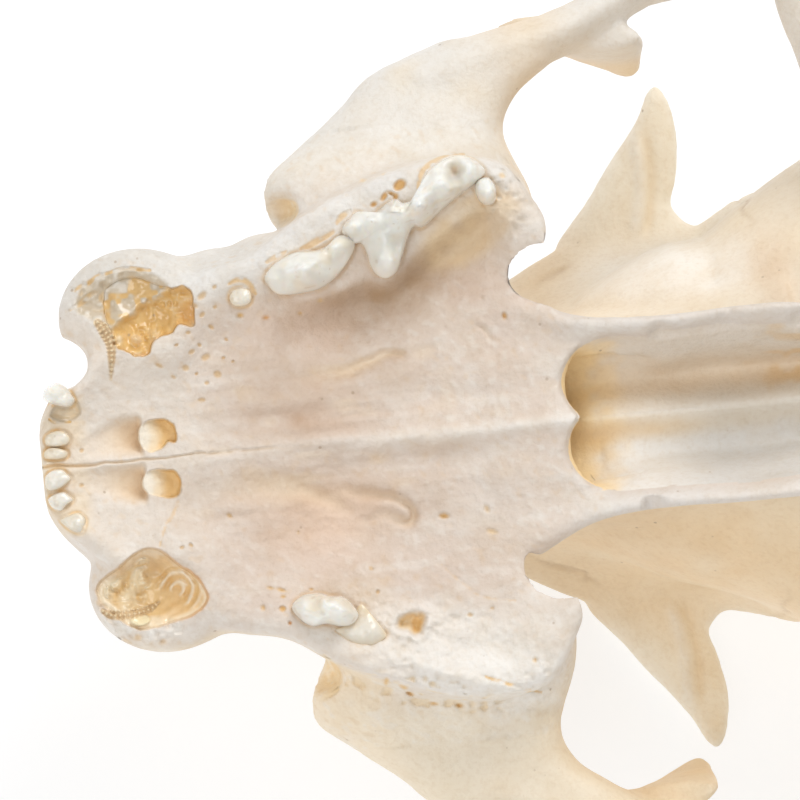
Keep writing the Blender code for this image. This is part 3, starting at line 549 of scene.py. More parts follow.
jaw_forms = gathering("jaw_forms")
profile_row("muzzle_form", MUZZLE, muzzle_outline, 80, jaw_forms)
bar("palate_edge_form", PALATE_EDGE, 1.0, (0, 0, 1), 0.0, 0.0, jaw_forms)
for word, side in SIDES.items():
    cheek_root(side, CHEEK_OUTWARD[word], jaw_forms)
for centre, half, turn in SWOLLEN_LEFT:
    egg("swelling_form", centre, half, jaw_forms, turn)
skull = jaw_forms.objects[0]
jaw_forms.objects.unlink(skull)
bpy.context.scene.collection.objects.link(skull)
worked(skull, jaw_forms, "UNION")
eye_forms = gathering("eye_forms")
for word, side in SIDES.items():
    egg("eye_form", sided(EYE_HOLLOW[0], side), EYE_HOLLOW[1], eye_forms, EYE_HOLLOW[2] * side)
    egg("notch_form", *PALATE_NOTCH[word], eye_forms)
worked(skull, eye_forms, "DIFFERENCE")
for word, side in SIDES.items():
    bar("canine_form", moved(CANINE_BULGE, *CANINE_SHIFT[word]), side, (0, 1, 0), 0.12, 0.0, cranium_forms)
worked(skull, cranium_forms, "UNION")
hollow_forms = gathering("hollow_forms")
for word, side in SIDES.items():
    egg("cheek_pit_form", *CHEEK_PIT[word], hollow_forms)
    egg("socket_form", *CANINE_SOCKET[word], hollow_forms)
    bar("cheek_hole_form", CHEEK_HOLE, side, (0, 0, 1), 0.0, 0.0, hollow_forms)
    egg("jaw_groove_form", sided(JAW_GROOVE[0], side), JAW_GROOVE[1], hollow_forms)
    egg("ear_opening_form", sided(EAR_OPENING[0], side), EAR_OPENING[1], hollow_forms)
for centre, half in (*THROAT_HOLLOWS, FRONT_NOTCH):
    egg("hollow_form", centre, half, hollow_forms)
bar("nose_form", NOSE_HOLLOW, 1.0, (0, 0, 1), 0.0, 0.1, hollow_forms)
worked(skull, hollow_forms, "DIFFERENCE")


# The skin of the whole skull.
# Real bones grow into one another, so the forms are run together into one even skin, the
# creases between them filled as fillets, and the skin doubled in fineness on the palate.
SKIN_CELL = 0.26
FILLET_ROUNDS = 36
SOFT_ROUNDS = 5

skin_step = skull.modifiers.new("skin", "REMESH")
skin_step.mode = "VOXEL"
skin_step.voxel_size = SKIN_CELL
settled(skull)
points = np.empty(len(skull.data.vertices) * 3)
skull.data.vertices.foreach_get("co", points)
points = points.reshape(-1, 3)
faces = np.empty(len(skull.data.loops), np.int64)
skull.data.loops.foreach_get("vertex_index", faces)
faces = faces.reshape(-1, 4)
bpy.data.objects.remove(skull, do_unlink=True)


def largest_skin(points, faces):
    """Keeps the faces joined to the first outer point, by spreading a label along the edges."""
    label = np.arange(len(points))
    while True:
        low = label[faces].min(axis=1)
        spread = label.copy()
        np.minimum.at(spread, faces.ravel(), np.repeat(low, 4))
        spread = spread[spread]
        if np.array_equal(spread, label):
            break
        label = spread
    kept = label[faces[:, 0]] == np.bincount(label).argmax()
    used, faces = np.unique(faces[kept], return_inverse=True)
    return points[used], faces.reshape(-1, 4)


def neighbours(faces, count):
    """Each point's neighbours along the edges: one list, with the start and size of each share."""
    ends = faces.ravel(), np.roll(faces, -1, axis=1).ravel()
    pairs = np.unique(np.concatenate([ends[0] * count + ends[1], ends[1] * count + ends[0]]))
    starts = np.searchsorted(pairs // count, np.arange(count))
    return pairs % count, starts, np.diff(np.append(starts, len(pairs)))


def mean_of(values, near):
    """The mean of each point's neighbours' values."""
    others, starts, sizes = near
    return np.add.reduceat(values[others], starts, axis=0) / sizes[:, None]


def facing(points, faces):
    """Each point's outward direction, the sum of its faces' areas as vectors."""
    a, b, c, d = (points[faces[:, n]] for n in range(4))
    area = np.repeat(np.cross(c - a, d - b), 4, axis=0)
    total = np.stack([np.bincount(faces.ravel(), area[:, n], len(points)) for n in range(3)], axis=1)
    return total / (np.linalg.norm(total, axis=1)[:, None] + 1e-12)


def ramp(value, low, high):
    """0 below low, 1 above high, an S curve between."""
    t = np.clip((value - low) / (high - low), 0.0, 1.0)
    return t * t * (3 - 2 * t)


points, faces = largest_skin(points, faces)
near = neighbours(faces, len(points))
for fillet_round in range(FILLET_ROUNDS):
    if fillet_round % 6 == 0:
        outward = facing(points, faces)
    rise = np.sum((mean_of(points, near) - points) * outward, axis=1)
    points += outward * (np.clip(rise, 0.0, None) * 0.6)[:, None]
for soft_round in range(SOFT_ROUNDS):
    points += (mean_of(points, near) - points) * 0.5


def finer(points, faces, chosen):
    """Cuts each chosen quad into four, and gives its neighbours the new points of shared edges."""
    count = len(points)
    ends = np.stack([faces, np.roll(faces, -1, axis=1)], axis=-1)
    keys = ends.min(axis=2) * count + ends.max(axis=2)
    cut_keys = np.unique(keys[chosen])
    middles = (points[cut_keys // count] + points[cut_keys % count]) / 2
    place = np.searchsorted(cut_keys, keys)
    place = np.minimum(place, len(cut_keys) - 1)
    is_cut = cut_keys[place] == keys
    middle = count + place
    centres = points[faces[chosen]].mean(axis=1)
    centre = (count + len(cut_keys) + np.arange(chosen.sum()))[:, None]
    corner, after = faces[chosen], middle[chosen]
    before = np.roll(after, 1, axis=1)
    small = np.stack([corner, after, np.broadcast_to(centre, corner.shape), before], axis=-1).reshape(-1, 4)
    plain = ~chosen & ~is_cut.any(axis=1)
    mixed = np.flatnonzero(~chosen & is_cut.any(axis=1))
    pieces = []
    for face in mixed:
        ring = []
        for n in range(4):
            ring.append(faces[face, n])
            if is_cut[face, n]:
                ring.append(middle[face, n])
        pieces.append(ring)
    return np.vstack([points, middles, centres]), np.vstack([small, faces[plain]]), pieces


FINE_ZONES = (  # place and half sizes in plan of the ovals round sockets, holes and tooth roots
    ((7.0, -9.6), (4.5, 3.5)),
    ((6.4, 9.0), (4.7, 3.9)),
    ((4.6, 0.0), (5.4, 3.4)),
    ((1.4, 0.0), (2.2, 6.2)),
    ((11.2, -6.7), (2.1, 3.4)),
    ((18.8, -11.9), (3.9, 1.7)),
    ((26.3, -15.0), (5.5, 2.6)),
    ((18.4, 11.6), (4.2, 2.0)),
    ((23.4, 12.5), (1.6, 1.4)),
    ((17.4, -15.7), (1.4, 1.3)),
    ((17.4, 15.8), (1.5, 1.8)),
)


def in_zones(spots):
    """Which spots lie in a zone's oval."""
    return np.any([np.hypot(*((spots[:, :2] - place) / half).T) < 1 for place, half in FINE_ZONES], axis=0)


outward = facing(points, faces)
a, l, h = points.T
on_palate = (outward[:, 2] < -0.2) & (h < 7.5) & (a < 36.5) & (np.abs(l) < 20.5)
points, faces, odd_faces = finer(points, faces, on_palate[faces].all(axis=1))
outward = facing(points, faces)
in_detail = (outward[:, 2] < -0.25) & (points[:, 2] < 5.0) & in_zones(points)
in_detail[np.unique(np.concatenate(odd_faces))] = False
points, faces, finest_odd = finer(points, faces, in_detail[faces].all(axis=1))
odd_faces += finest_odd


# The colour of the bone.
# Dry old bone: pinkish on the palate, paler and greyer on worn rims, thin edges and the
# cheek arches, and warmer on the walls behind the eyes, with painted shade in the deeper
# tan of the right walls and painted light in a white patch on the left wall. Each point of the skin has a tint.
CREAM = (0.80, 0.725, 0.65)
PINKISH = (0.73, 0.61, 0.525)
GREYISH = (0.80, 0.785, 0.765)
RIM_GREY = (0.73, 0.70, 0.655)
STRAW = (0.88, 0.79, 0.655)
WARM = (0.90, 0.78, 0.595)
TAN = (0.90, 0.72, 0.49)
HORN_CREAM = (0.99, 0.93, 0.80)
WALL_WHITE_AND_PAINTED_LIGHT = (0.95, 0.92, 0.87)
WALL_TAN = (0.84, 0.66, 0.45)
FLANK_CREAM = (0.92, 0.79, 0.61)
TEMPLE_BROWN = (0.72, 0.52, 0.34)


def coated(tints, *coats):
    """Tints under coats laid one over the other, each a colour and the share of it at each point."""
    for colour, share in coats:
        share = np.clip(share, 0, 1)[:, None]
        tints = tints * (1 - share) + np.array(colour) * share
    return tints


def fall(value, last, end):
    """1 below last, 0 above end, an S curve between."""
    return ramp(-value, -end, -last)


def band(value, start, full, last, end):
    """0 outside start and end, 1 between full and last, S curves between."""
    return ramp(value, start, full) * fall(value, last, end)


def bell(value, middle=0.0, width=1.0):
    """1 at the middle, falling as the exponential of minus the squared distance in widths."""
    return np.exp(-(((value - middle) / width) ** 2))


def cloud(points, size, seed):
    """Random field from -1 to 1: random values on the corners of cubes of the size, blended by S curves."""
    spots = points / np.asarray(size, float)
    cell = np.floor(spots).astype(np.int64)
    t = spots - cell
    t = t * t * (3 - 2 * t)
    total = np.zeros(len(points))
    for corner in np.ndindex(2, 2, 2):
        key = (cell + corner) @ np.array((73856093, 19349663, 83492791)) + seed * 1299721
        key = ((key ^ (key >> 13)) * 1274126177) & 0x7FFFFFFF
        total += np.prod(np.where(corner, t, 1 - t), axis=1) * (key / 0x3FFFFFFF - 1)
    return total


outward = facing(points, faces)
lone = np.linalg.norm(outward, axis=1) < 0.5
outward[lone] = (0, 0, -1)
a, l, h = points.T
aside = np.abs(l)
edge_share = aside / (8 + 0.27 * a)
broad, medium = cloud(points, 6.0, 61), cloud(points, 2.2, 62)
tints = coated(
    np.tile(CREAM, (len(points), 1)),
    (PINKISH, (0.75 + 0.35 * broad) * fall(h, 1.5, 3.5) * fall(aside, 9.5, 13.5) * ramp(a, 8, 14)),
    (STRAW, ramp(aside, 16, 20) + ramp(h, 4, 10)),
    (RIM_GREY, 0.9 * ramp(-l, 8.6, 11.8) * fall(a, 14, 19) * fall(h, 5, 9)),
    (GREYISH, 0.75 * ramp(-l, 15, 22) * fall(h, 16, 20)),
    (WARM, 0.8 * ramp(l, 2, 8) * ramp(h, 4, 10)),
    # Partly painted shade: the walls behind the eyes turn a deeper tan on the right side, their own warm colour
    # darkened where they face away from the light
    (TAN, (0.12 + 0.75 * ramp(l, 0, 5)) * ramp(h, 6, 14) * band(a, 28, 33, 50, 58)),
    (HORN_CREAM, 0.9 * ramp(aside, 11, 17) * ramp(h, 16, 22) * band(a, 34, 38, 46, 52)),
    (TAN, 0.6 * band(h, 14, 18, 22, 24) * ramp(aside, 20, 22) * fall(a, 42, 48)),
    # Partly painted light: the left wall behind the horn is whitened, over its own pale colour, where it faces the
    # light
    (WALL_WHITE_AND_PAINTED_LIGHT, (0.7 + 0.3 * medium) * bell(a, 44.0, 5.5) * band(-l, 7, 9, 11, 13.5) * ramp(h, 8, 12)),
    (FLANK_CREAM, 0.85 * ramp(l, 8.5, 11.0) * band(a, 3, 7, 20, 23) * band(h, 0.3, 2.0, 11, 16)),
    (TEMPLE_BROWN, (0.5 + 0.4 * medium) * bell(a, 50.6, 1.7) * bell(l, -9.0, 2.6) * fall(h, 20, 26)),
    (WALL_TAN, 0.75 * bell(a, 34.5, 2.6) * ramp(-l, 5, 8) * ramp(h, 5, 9)),
    (
        GREYISH,
        0.85 * fall(h, -0.2, 1.2) * ramp(edge_share, 0.84, 1.04) * fall(a, 33, 36)
        * (1 - 0.85 * ramp(l, 4, 8) * fall(a, 21, 25)),
    ),
    (GREYISH, 0.7 * fall(h, 0.5, 3.0) * ramp(a, 33, 37)),
    (CREAM, (0.3 + 0.5 * medium) * ramp(broad, -0.2, 0.6) * fall(h, 3, 6)),
    (WARM, (0.25 + 0.5 * medium) * ramp(-broad, -0.1, 0.6) * ramp(h, 4, 9)),
)


# The roof of the mouth.
# The bony palate of an old cat, fine-grained, with streaks along it, rosy and brown stains,
# painted shade below the left teeth, and the mouths of the canals under the eyes. Relief sinks the points that look
# down.
UMBER = (0.58, 0.43, 0.29)
CHALK = (0.90, 0.875, 0.835)
PORE_TAN = (0.72, 0.51, 0.28)
CANAL_HONEY = (0.90, 0.72, 0.46)
GUM_TAN = (0.84, 0.68, 0.46)
ROSE_BROWN = (0.60, 0.43, 0.315)
# Painted shade, laid below the left teeth and in the deepest part of the front holes' hollows
PAINTED_SHADE_BROWN = (0.46, 0.30, 0.17)
ROSY = (0.86, 0.655, 0.52)
CORNER_TAN = (0.80, 0.63, 0.42)
RIGHT_SHADE = (0.06, 0.08, 0.09)  # how much darker the right half is in red, green and blue
ROOF_TOP, ROOF_REAR, ROOF_SIDE = 9.0, 37.5, 21.0
FAR = 1e9
CANAL_MOUTHS = (
    (
        (17.05, -14.75), (17.8, -14.95), (18.35, -15.4), (18.5, -15.9), (18.3, -16.4),
        (17.9, -16.65), (17.3, -16.8), (16.6, -16.7), (16.2, -16.2), (16.5, -15.3),
    ),
    (
        (17.25, 14.1), (17.9, 14.6), (18.3, 15.4), (18.4, 16.1), (18.1, 16.8),
        (17.5, 17.2), (16.8, 17.4), (16.1, 17.2), (16.4, 16.0), (16.8, 15.0),
    ),
)
BLOTCHES = (  # place, half sizes, share of brown
    ((17.4, -2.4), (5.0, 2.6), 0.85),
    ((20.0, -0.6), (3.2, 1.3), 0.5),
    ((18.4, 4.1), (5.6, 1.6), 0.85),
    ((16.2, 6.2), (3.2, 1.7), 0.6),
    ((24.2, -4.6), (2.6, 1.9), 0.4),
    ((29.8, -9.4), (2.8, 1.6), 0.6),
)
ROSY_SPOTS = ((17.5, -7.6), (18.6, 5.4))
TOOTH_LINE = (
    (14.2, -8.3), (15.9, -8.8), (18.0, -9.4), (20.6, -9.9), (22.2, -10.5), (23.7, -10.3),
    (25.1, -11.2), (26.9, -12.6), (28.7, -13.7), (30.5, -14.5), (31.8, -14.3), (32.8, -13.4),
)


def near_keys(flat, keys, reach):
    """Points in the keys' box, widened by the reach."""
    spots = np.array([key[:2] for key in keys])
    return np.flatnonzero(np.all((flat > spots.min(0) - reach) & (flat < spots.max(0) + reach), axis=1))


def along_path(flat, keys, reach, steps=28):
    """Each point's distance from the smooth path, positive on its right, the path's values and its length there.

    Points outside the keys' box, widened by the reach, are far away, at values of 1 and length 0.
    """
    way = np.linspace(0, len(keys) - 1, steps)
    rows = through(np.column_stack([np.arange(len(keys)), keys]), way)
    spots = near_keys(flat, keys, reach)
    nearest, travelled = np.full(len(flat), FAR), np.zeros(len(flat))
    values = np.ones((len(flat), rows.shape[1] - 2))
    run = 0.0
    for start, end in zip(rows[:-1], rows[1:]):
        step = end[:2] - start[:2]
        out = flat[spots] - start[:2]
        share = np.clip(out @ step / (step @ step), 0, 1)
        distance = np.linalg.norm(out - share[:, None] * step, axis=1)
        distance *= np.where(step[0] * out[:, 1] - step[1] * out[:, 0] < 0, -1, 1)
        closer = np.abs(distance) < np.abs(nearest[spots])
        chosen = spots[closer]
        nearest[chosen] = distance[closer]
        values[chosen] = start[2:] + share[closer, None] * (end[2:] - start[2:])
        travelled[chosen] = run + share[closer] * np.linalg.norm(step)
        run += np.linalg.norm(step)
    return nearest, values.T, travelled


def smooth_ring(outline, per_span):
    """Smooth closed ring through the outline's corners."""
    outline = np.array(outline)
    count = len(outline)
    looped = np.vstack([outline[-2:], outline, outline[:3]])
    keys = np.column_stack([np.arange(-2, count + 3), looped])
    return through(keys, np.arange(count * per_span) / per_span)




def inside(flat, outline, reach=1.0):
    """Distance in from a smooth closed outline: positive inside, negative outside."""
    ring = smooth_ring(outline, 4)
    depth_in = np.full(len(flat), -9.0)
    spots = near_keys(flat, ring, reach)
    x, y = flat[spots].T
    away = np.full(len(spots), 9.0)
    within = np.zeros(len(spots), bool)
    for start, end in zip(ring, np.roll(ring, -1, axis=0)):
        step = end - start
        share = np.clip(((x - start[0]) * step[0] + (y - start[1]) * step[1]) / (step @ step), 0, 1)
        away = np.minimum(away, np.hypot(x - start[0] - share * step[0], y - start[1] - share * step[1]))
        if step[1] != 0:
            crosses = ((start[1] > y) != (end[1] > y)) & (x < start[0] + (y - start[1]) / step[1] * step[0])
            within ^= crosses
    depth_in[spots] = np.where(within, away, -away)
    return depth_in


def oval_reach(flat, place, half, turn):
    """0 at an oval's middle and 1 on its rim, its half sizes turned in plan."""
    out = flat - place
    along = out[:, 0] * math.cos(turn) + out[:, 1] * math.sin(turn)
    across = out[:, 1] * math.cos(turn) - out[:, 0] * math.sin(turn)
    return np.hypot(along / half[0], across / half[1])


under = np.flatnonzero((h < ROOF_TOP) & (a < ROOF_REAR) & (aside < ROOF_SIDE) & (outward[:, 2] < 0.05))
spread = points[under]
flat = spread[:, :2]
a, l, h = spread.T
aside = np.abs(l)
wobble = np.column_stack([cloud(spread, 0.8, 5), cloud(spread, 0.8, 6)]) * 0.09
ragged = flat + wobble
rag = 0.6 * cloud(spread, 0.75, 11) + 0.4 * cloud(spread, 0.33, 12)
lumps, small_lumps, grains = cloud(spread, 0.85, 21), cloud(spread, 0.42, 22), cloud(spread, 0.24, 23)
blobs = cloud(spread, 1.15, 24)
depth = np.zeros(len(under))
roof_tints = tints[under]
roof_wet = np.zeros(len(under))

for outline in CANAL_MOUTHS:
    mouth, rearward = ramp(inside(flat, outline), -0.03, 0.16), ramp(a, 16.3, 18.3)
    depth += 0.5 * mouth * rearward
    roof_tints = coated(roof_tints, (CANAL_HONEY, mouth * (0.15 + 0.85 * rearward)))

# Streaks along the roof, veins and flecks across it, and a general unevenness
down_middle = fall(aside, 3.5, 7.5) * ramp(a, 7, 13) * (0.35 + 0.65 * fall(a, 20, 27))
streaks = (0.11 * cloud(spread, (6.0, 0.55, 3.0), 41) + 0.04 * cloud(spread, (3.0, 0.3, 3.0), 42)) * down_middle
veins = cloud(spread, (1.7, 0.8, 2.0), 45)
aslant = np.array(Matrix.Rotation(0.7, 3, (0.35, 0.2, 1.0)))
flecks = 0.6 * cloud(spread @ aslant, (0.55, 0.36, 0.5), 46) + 0.5 * cloud(spread @ aslant.T, (0.3, 0.42, 0.4), 47)
depth += streaks + 0.2 * cloud(spread, 3.2, 43) + 0.09 * cloud(spread, 1.3, 44)
depth += 0.02 * grains + 0.03 * small_lumps + 0.03 * lumps
depth += 0.05 * np.clip(-flecks - 0.2, 0, 1) - 0.035 * np.clip(flecks, 0, 1)
roof_tints = coated(
    roof_tints,
    (UMBER, np.clip(2.2 * streaks, 0, 0.35)),
    (CHALK, np.clip(-3.2 * streaks, 0, 0.45)),
    (CHALK, 0.30 * ramp(flecks, 0.15, 0.6)),
    (PORE_TAN, 0.22 * ramp(-flecks, 0.3, 0.7)),
    (GUM_TAN, (0.45 + 0.4 * veins) * fall(a, 2.2, 3.4) * fall(aside, 4.2, 5.2)),
    (CHALK, 0.3 * ramp(veins, 0.15, 0.7)),
    (TAN, 0.28 * ramp(-veins, 0.2, 0.75) * down_middle),
)
right_half = band(l, -1.0, 2.0, 10.0, 14.0) * band(a, 5.0, 9.0, 27.0, 33.0)
roof_tints = roof_tints * (1 - right_half[:, None] * RIGHT_SHADE)
for place, half, share in BLOTCHES:
    blotch = bell(oval_reach(flat, place, half, 0.08)) * (0.85 + 0.35 * veins + 0.2 * lumps)
    roof_tints = coated(roof_tints, (ROSE_BROWN, share * blotch))

# The steep side below the left teeth, sunk and darkened with painted shade, then rosy spots and a brownish rear corner
away, _, travelled = along_path(flat, TOOTH_LINE, 7.0)
beyond = np.clip(away, 0, None)
fade = band(travelled, 1.0, 7.0, 20.0, 23.0) * fall(a, 30.0, 33.0)
depth += 2.3 * (1 - bell(beyond, 0, 0.9)) * bell(beyond, 0, 3.4) * fade
# Painted shade: brown along the steep side below the left teeth
darker = bell(beyond, 0.7, 1.9) * fade * ramp(away, -0.4, 0.3)
roof_tints = coated(roof_tints, (PAINTED_SHADE_BROWN, (0.78 + 0.14 * lumps) * darker))
for place in ROSY_SPOTS:
    roof_tints = coated(roof_tints, (ROSY, 0.6 * bell(oval_reach(flat, place, (3.6, 2.4), 0.0))))
corner = fall(oval_reach(flat, (29.6, -13.2), (3.6, 1.9), -0.5), 0.7, 1.3)
roof_tints = coated(roof_tints, (CORNER_TAN, (0.75 + 0.35 * lumps) * corner))


# The joint, ridge, grooves and hollows of the palate.
# The two halves meet in a long open joint that closes to a low ridge further back. Vessels
# left branching grooves beside it, and the bone between them is softly hollowed.
AMBER = (0.80, 0.52, 0.20)
MIDDLE_JOINT = (  # each key is a place, half width and depth, as in the grooves
    (-0.3, -0.1, 0.12, 0.35), (3.1, 0.1, 0.09, 0.25), (7.7, 0.08, 0.07, 0.2),
    (13.0, 0.12, 0.06, 0.18), (18.0, 0.25, 0.05, 0.03),
)
MIDDLE_RIDGE = (
    (9.0, 0.2, 0.9, 0.04), (18.0, 0.22, 0.8, 0.18), (23.0, 0.27, 0.6, 0.3),
    (30.0, 0.27, 0.5, 0.36), (36.0, 0.2, 0.5, 0.36),
)
GROOVES = (
    (
        (17.6, -4.3, 0.7, 0.1), (19.2, -4.5, 0.6, 0.3), (20.5, -4.55, 0.5, 0.5),
        (21.9, -4.95, 0.4, 0.55), (23.3, -5.45, 0.34, 0.6), (24.4, -5.3, 0.28, 0.55),
    ),
    ((25.1, -5.05, 0.4, 0.1), (26.0, -5.35, 0.42, 0.3), (26.9, -5.8, 0.25, 0.12)),
    ((29.6, -6.7, 0.14, 0.15), (30.1, -6.4, 0.18, 0.3), (30.4, -5.7, 0.16, 0.12)),
    (
        (11.0, 2.4, 1.1, 0.1), (14.1, 2.7, 1.0, 0.45), (16.8, 3.1, 0.8, 0.6),
        (18.4, 3.8, 0.6, 0.5), (19.8, 4.7, 0.5, 0.2),
    ),
    (
        (19.0, 3.3, 0.5, 0.1), (20.2, 3.55, 0.42, 0.3), (21.7, 3.9, 0.36, 0.42), (23.3, 4.35, 0.3, 0.5),
        (24.1, 5.1, 0.26, 0.6), (24.15, 5.8, 0.24, 0.6), (23.5, 6.05, 0.22, 0.4), (22.6, 5.7, 0.2, 0.1),
    ),
    ((21.0, 5.6, 0.3, 0.08), (22.3, 5.3, 0.4, 0.22), (23.4, 5.6, 0.3, 0.2)),
)
SMOOTH_PATCH = ((29.3, 15.3), (2.5, 1.6), 0.35)
HOLLOWS = (  # place, half sizes, turn, depth
    ((12.4, -7.6), (3.2, 1.8), -0.2, 0.3),
    ((21.0, -7.4), (5.0, 2.2), -0.25, 0.55),
    ((20.5, 6.6), (4.6, 2.4), 0.3, 0.5),
    ((28.0, -2.2), (8.0, 1.3), 0.0, 0.35),
    ((26.0, 1.9), (8.0, 1.1), 0.0, 0.4),
    ((16.0, -1.7), (4.5, 0.8), 0.0, 0.3),
    (*SMOOTH_PATCH, 0.6),
    ((26.4, 14.6), (1.6, 1.0), 0.2, 0.3),
)

for keys, lowers, colour in ((MIDDLE_JOINT, 1.0, AMBER), (MIDDLE_RIDGE, -1.0, CHALK)):
    away, (width, deep), _ = along_path(ragged, keys, 2.0)
    shape = bell(away, 0, width) * deep
    depth += lowers * shape
    roof_tints = coated(roof_tints, (colour, np.clip(1.6 * shape, 0, 0.6)))
for keys in GROOVES:
    away, (width, deep), _ = along_path(ragged, keys, 2.4)
    shape = bell(away, 0, width) * deep
    depth += shape
    roof_tints = coated(roof_tints, (TAN, 0.7 * np.clip(shape, 0, 1)))
for place, half, turn, deep in HOLLOWS:
    depth += deep * bell(oval_reach(flat, place, half, turn)) ** 1.4
smooth_patch = fall(oval_reach(flat, *SMOOTH_PATCH), 0.7, 1.2)
roof_tints = coated(roof_tints, (CHALK, 0.6 * smooth_patch))


# Healed and porous bone.
# Where cheek teeth were lost on the right, the bone has healed rough and pocked behind a low
# crest. It is porous behind the last left tooth and round the right eye tooth's socket.
DUSKY = (0.64, 0.56, 0.45)
POCK_TAN = (0.90, 0.75, 0.53)
POROUS_RIM = (
    (2.5, 9.1), (4.0, 10.5), (5.9, 11.2), (7.7, 10.9), (8.2, 11.6), (7.4, 12.2), (5.85, 12.5), (4.2, 12.1), (3.0, 11.0),
)
RIGHT_CREST = ((21.1, 14.2), (23.6, 15.4), (25.6, 16.2), (28.1, 17.2), (30.1, 18.0), (31.7, 18.6), (32.7, 19.0))

healed = fall(oval_reach(flat, (26.6, 15.2), (7.4, 3.0), 0.42), 0.75, 1.25) * (1 - 0.8 * smooth_patch)
rear_rough = fall(oval_reach(flat, (32.6, -15.2), (1.7, 2.8), 0.2), 0.8, 1.3)
porous = ramp(inside(flat, POROUS_RIM), -0.3, 0.3)
pocked = fall(oval_reach(flat, (23.6, 17.4), (4.8, 1.0), 0.27), 0.9, 1.4) * ramp(small_lumps + 0.7 * lumps, 0.2, 0.8)
away, _, travelled = along_path(ragged, RIGHT_CREST, 2.5)
crest = bell(away, 0, 0.45) * ramp(travelled, 0, 2) * (0.75 + 0.35 * lumps)
crumbs = 0.20 * np.clip(small_lumps, 0, 1) + 0.14 * np.clip(lumps, 0, 1) + 0.07 * grains
depth += crumbs * np.maximum(np.maximum(0.8 * healed, rear_rough), 1.6 * porous)
depth += 0.22 * pocked + 0.22 * bell(away, 0.9, 0.5) * ramp(travelled, 0, 2) - 0.3 * crest
roof_tints = coated(
    roof_tints,
    (CHALK, 0.45 * healed + 0.7 * porous * ramp(-lumps, -0.3, 0.3)),
    (DUSKY, 0.45 * ramp(small_lumps, 0.25, 0.7) * np.maximum(0.6 * healed, rear_rough)),
    (AMBER, 0.55 * ramp(lumps, 0.35, 0.7) * porous),
    (POCK_TAN, 0.6 * pocked),
    (CHALK, 0.5 * crest),
)


# The two front holes.
# Canals that open behind the front teeth: a hollow leads rearward to each, over a pale lip,
# its tan partly painted shade that darkens where it is deepest, and the bone inside is
# honey-coloured and deepest at the rear.
LEAD_TAN_AND_PAINTED_SHADE = (0.88, 0.68, 0.46)
HOLE_CREAM = (0.94, 0.87, 0.75)
PALE_HONEY = (0.93, 0.80, 0.60)
HONEY = (0.84, 0.58, 0.25)
FRONT_HOLES = (  # outline of each hole, and the hollow that leads to it
    (
        (
            (6.3, -1.65), (6.55, -2.2), (7.25, -2.5), (8.15, -2.45), (8.7, -2.05), (8.85, -1.5),
            (8.75, -0.9), (8.25, -0.95), (7.75, -0.5), (6.95, -0.4), (6.4, -0.85),
        ),
        ((2.4, -0.85, 0.5, 0.05), (4.0, -1.25, 0.95, 0.42), (5.4, -1.5, 1.15, 0.9), (6.3, -1.5, 1.15, 1.15)),
    ),
    (
        (
            (6.3, 1.45), (6.6, 1.0), (7.15, 0.8), (7.95, 0.95), (8.6, 1.1), (8.85, 1.85),
            (8.65, 2.6), (8.1, 2.8), (7.3, 2.65), (6.65, 2.4), (6.3, 2.0),
        ),
        ((2.4, 1.15, 0.5, 0.05), (4.0, 1.35, 0.95, 0.42), (5.4, 1.6, 1.15, 0.9), (6.3, 1.7, 1.15, 1.15)),
    ),
)

for outline, lead in FRONT_HOLES:
    away, (width, deep), _ = along_path(flat, lead, 2.0)
    shape = np.exp(-((away / width) ** 4)) * deep * fall(a, 6.35, 6.75)
    within = inside(flat, outline)
    hole = ramp(within + 0.06 * small_lumps, -0.05, 0.08)
    rearward = ramp(a + 0.3 * np.abs(l - lead[-1][1]), 6.5, 8.6)
    depth += shape * (1 - ramp(within, -0.1, 0.1)) + hole * (0.1 + 0.75 * rearward + 0.08 * lumps)
    # Partly painted shade: the hollow's tan grows with its depth, and painted shade lies where it is deepest
    roof_tints = coated(
        roof_tints,
        (LEAD_TAN_AND_PAINTED_SHADE, 0.85 * np.clip(shape, 0, 1)),
        (PAINTED_SHADE_BROWN, 0.35 * ramp(shape, 0.6, 1.2)),
        (HOLE_CREAM, hole),
        (PALE_HONEY, hole * ramp(rearward, 0.1, 0.4)),
        (HONEY, 0.85 * hole * ramp(rearward + 0.15 * lumps, 0.4, 0.95)),
        (AMBER, 0.6 * bell(within, 0.04, 0.1) * ramp(a, 7.4, 8.3)),
    )


# The left eye tooth's socket.
# A rough greyish recess where the tooth was lost, half filled by the honey-coloured jelly
# that dried in it, ragged at its edge, blistered, and wet-looking.
ORANGE = (0.78, 0.40, 0.12)
DEEP_HONEY = (0.72, 0.43, 0.13)
RECESS_TAN = (0.65, 0.555, 0.42)
LEFT_RECESS = (
    (2.85, -10.9), (3.75, -11.9), (4.87, -12.4), (6.64, -12.7), (8.21, -12.3), (9.26, -11.4),
    (8.7, -10.3), (7.3, -9.8), (5.9, -9.3), (4.8, -8.85), (3.8, -9.5), (3.0, -10.1),
)
LEFT_JELLY = (
    (5.0, -11.4), (5.5, -11.8), (6.6, -12.15), (7.5, -11.95), (8.6, -11.45), (9.6, -11.1),
    (10.4, -11.25), (10.85, -10.6), (10.85, -9.9), (10.9, -8.9), (10.7, -8.4), (9.75, -8.6),
    (9.3, -8.15), (8.45, -8.0), (7.8, -7.4), (7.6, -6.9), (6.9, -6.75), (6.0, -7.2),
    (5.35, -7.65), (5.3, -8.3), (5.0, -9.2), (4.8, -10.4),
)
BRIGHT_JELLY = (
    (5.3, -8.7), (6.3, -9.4), (7.3, -10.15), (8.4, -10.5), (9.1, -11.0), (10.4, -11.2), (10.9, -10.1),
    (10.9, -8.8), (9.7, -8.4), (8.5, -7.8), (7.7, -6.7), (6.3, -6.7), (5.2, -7.6),
)

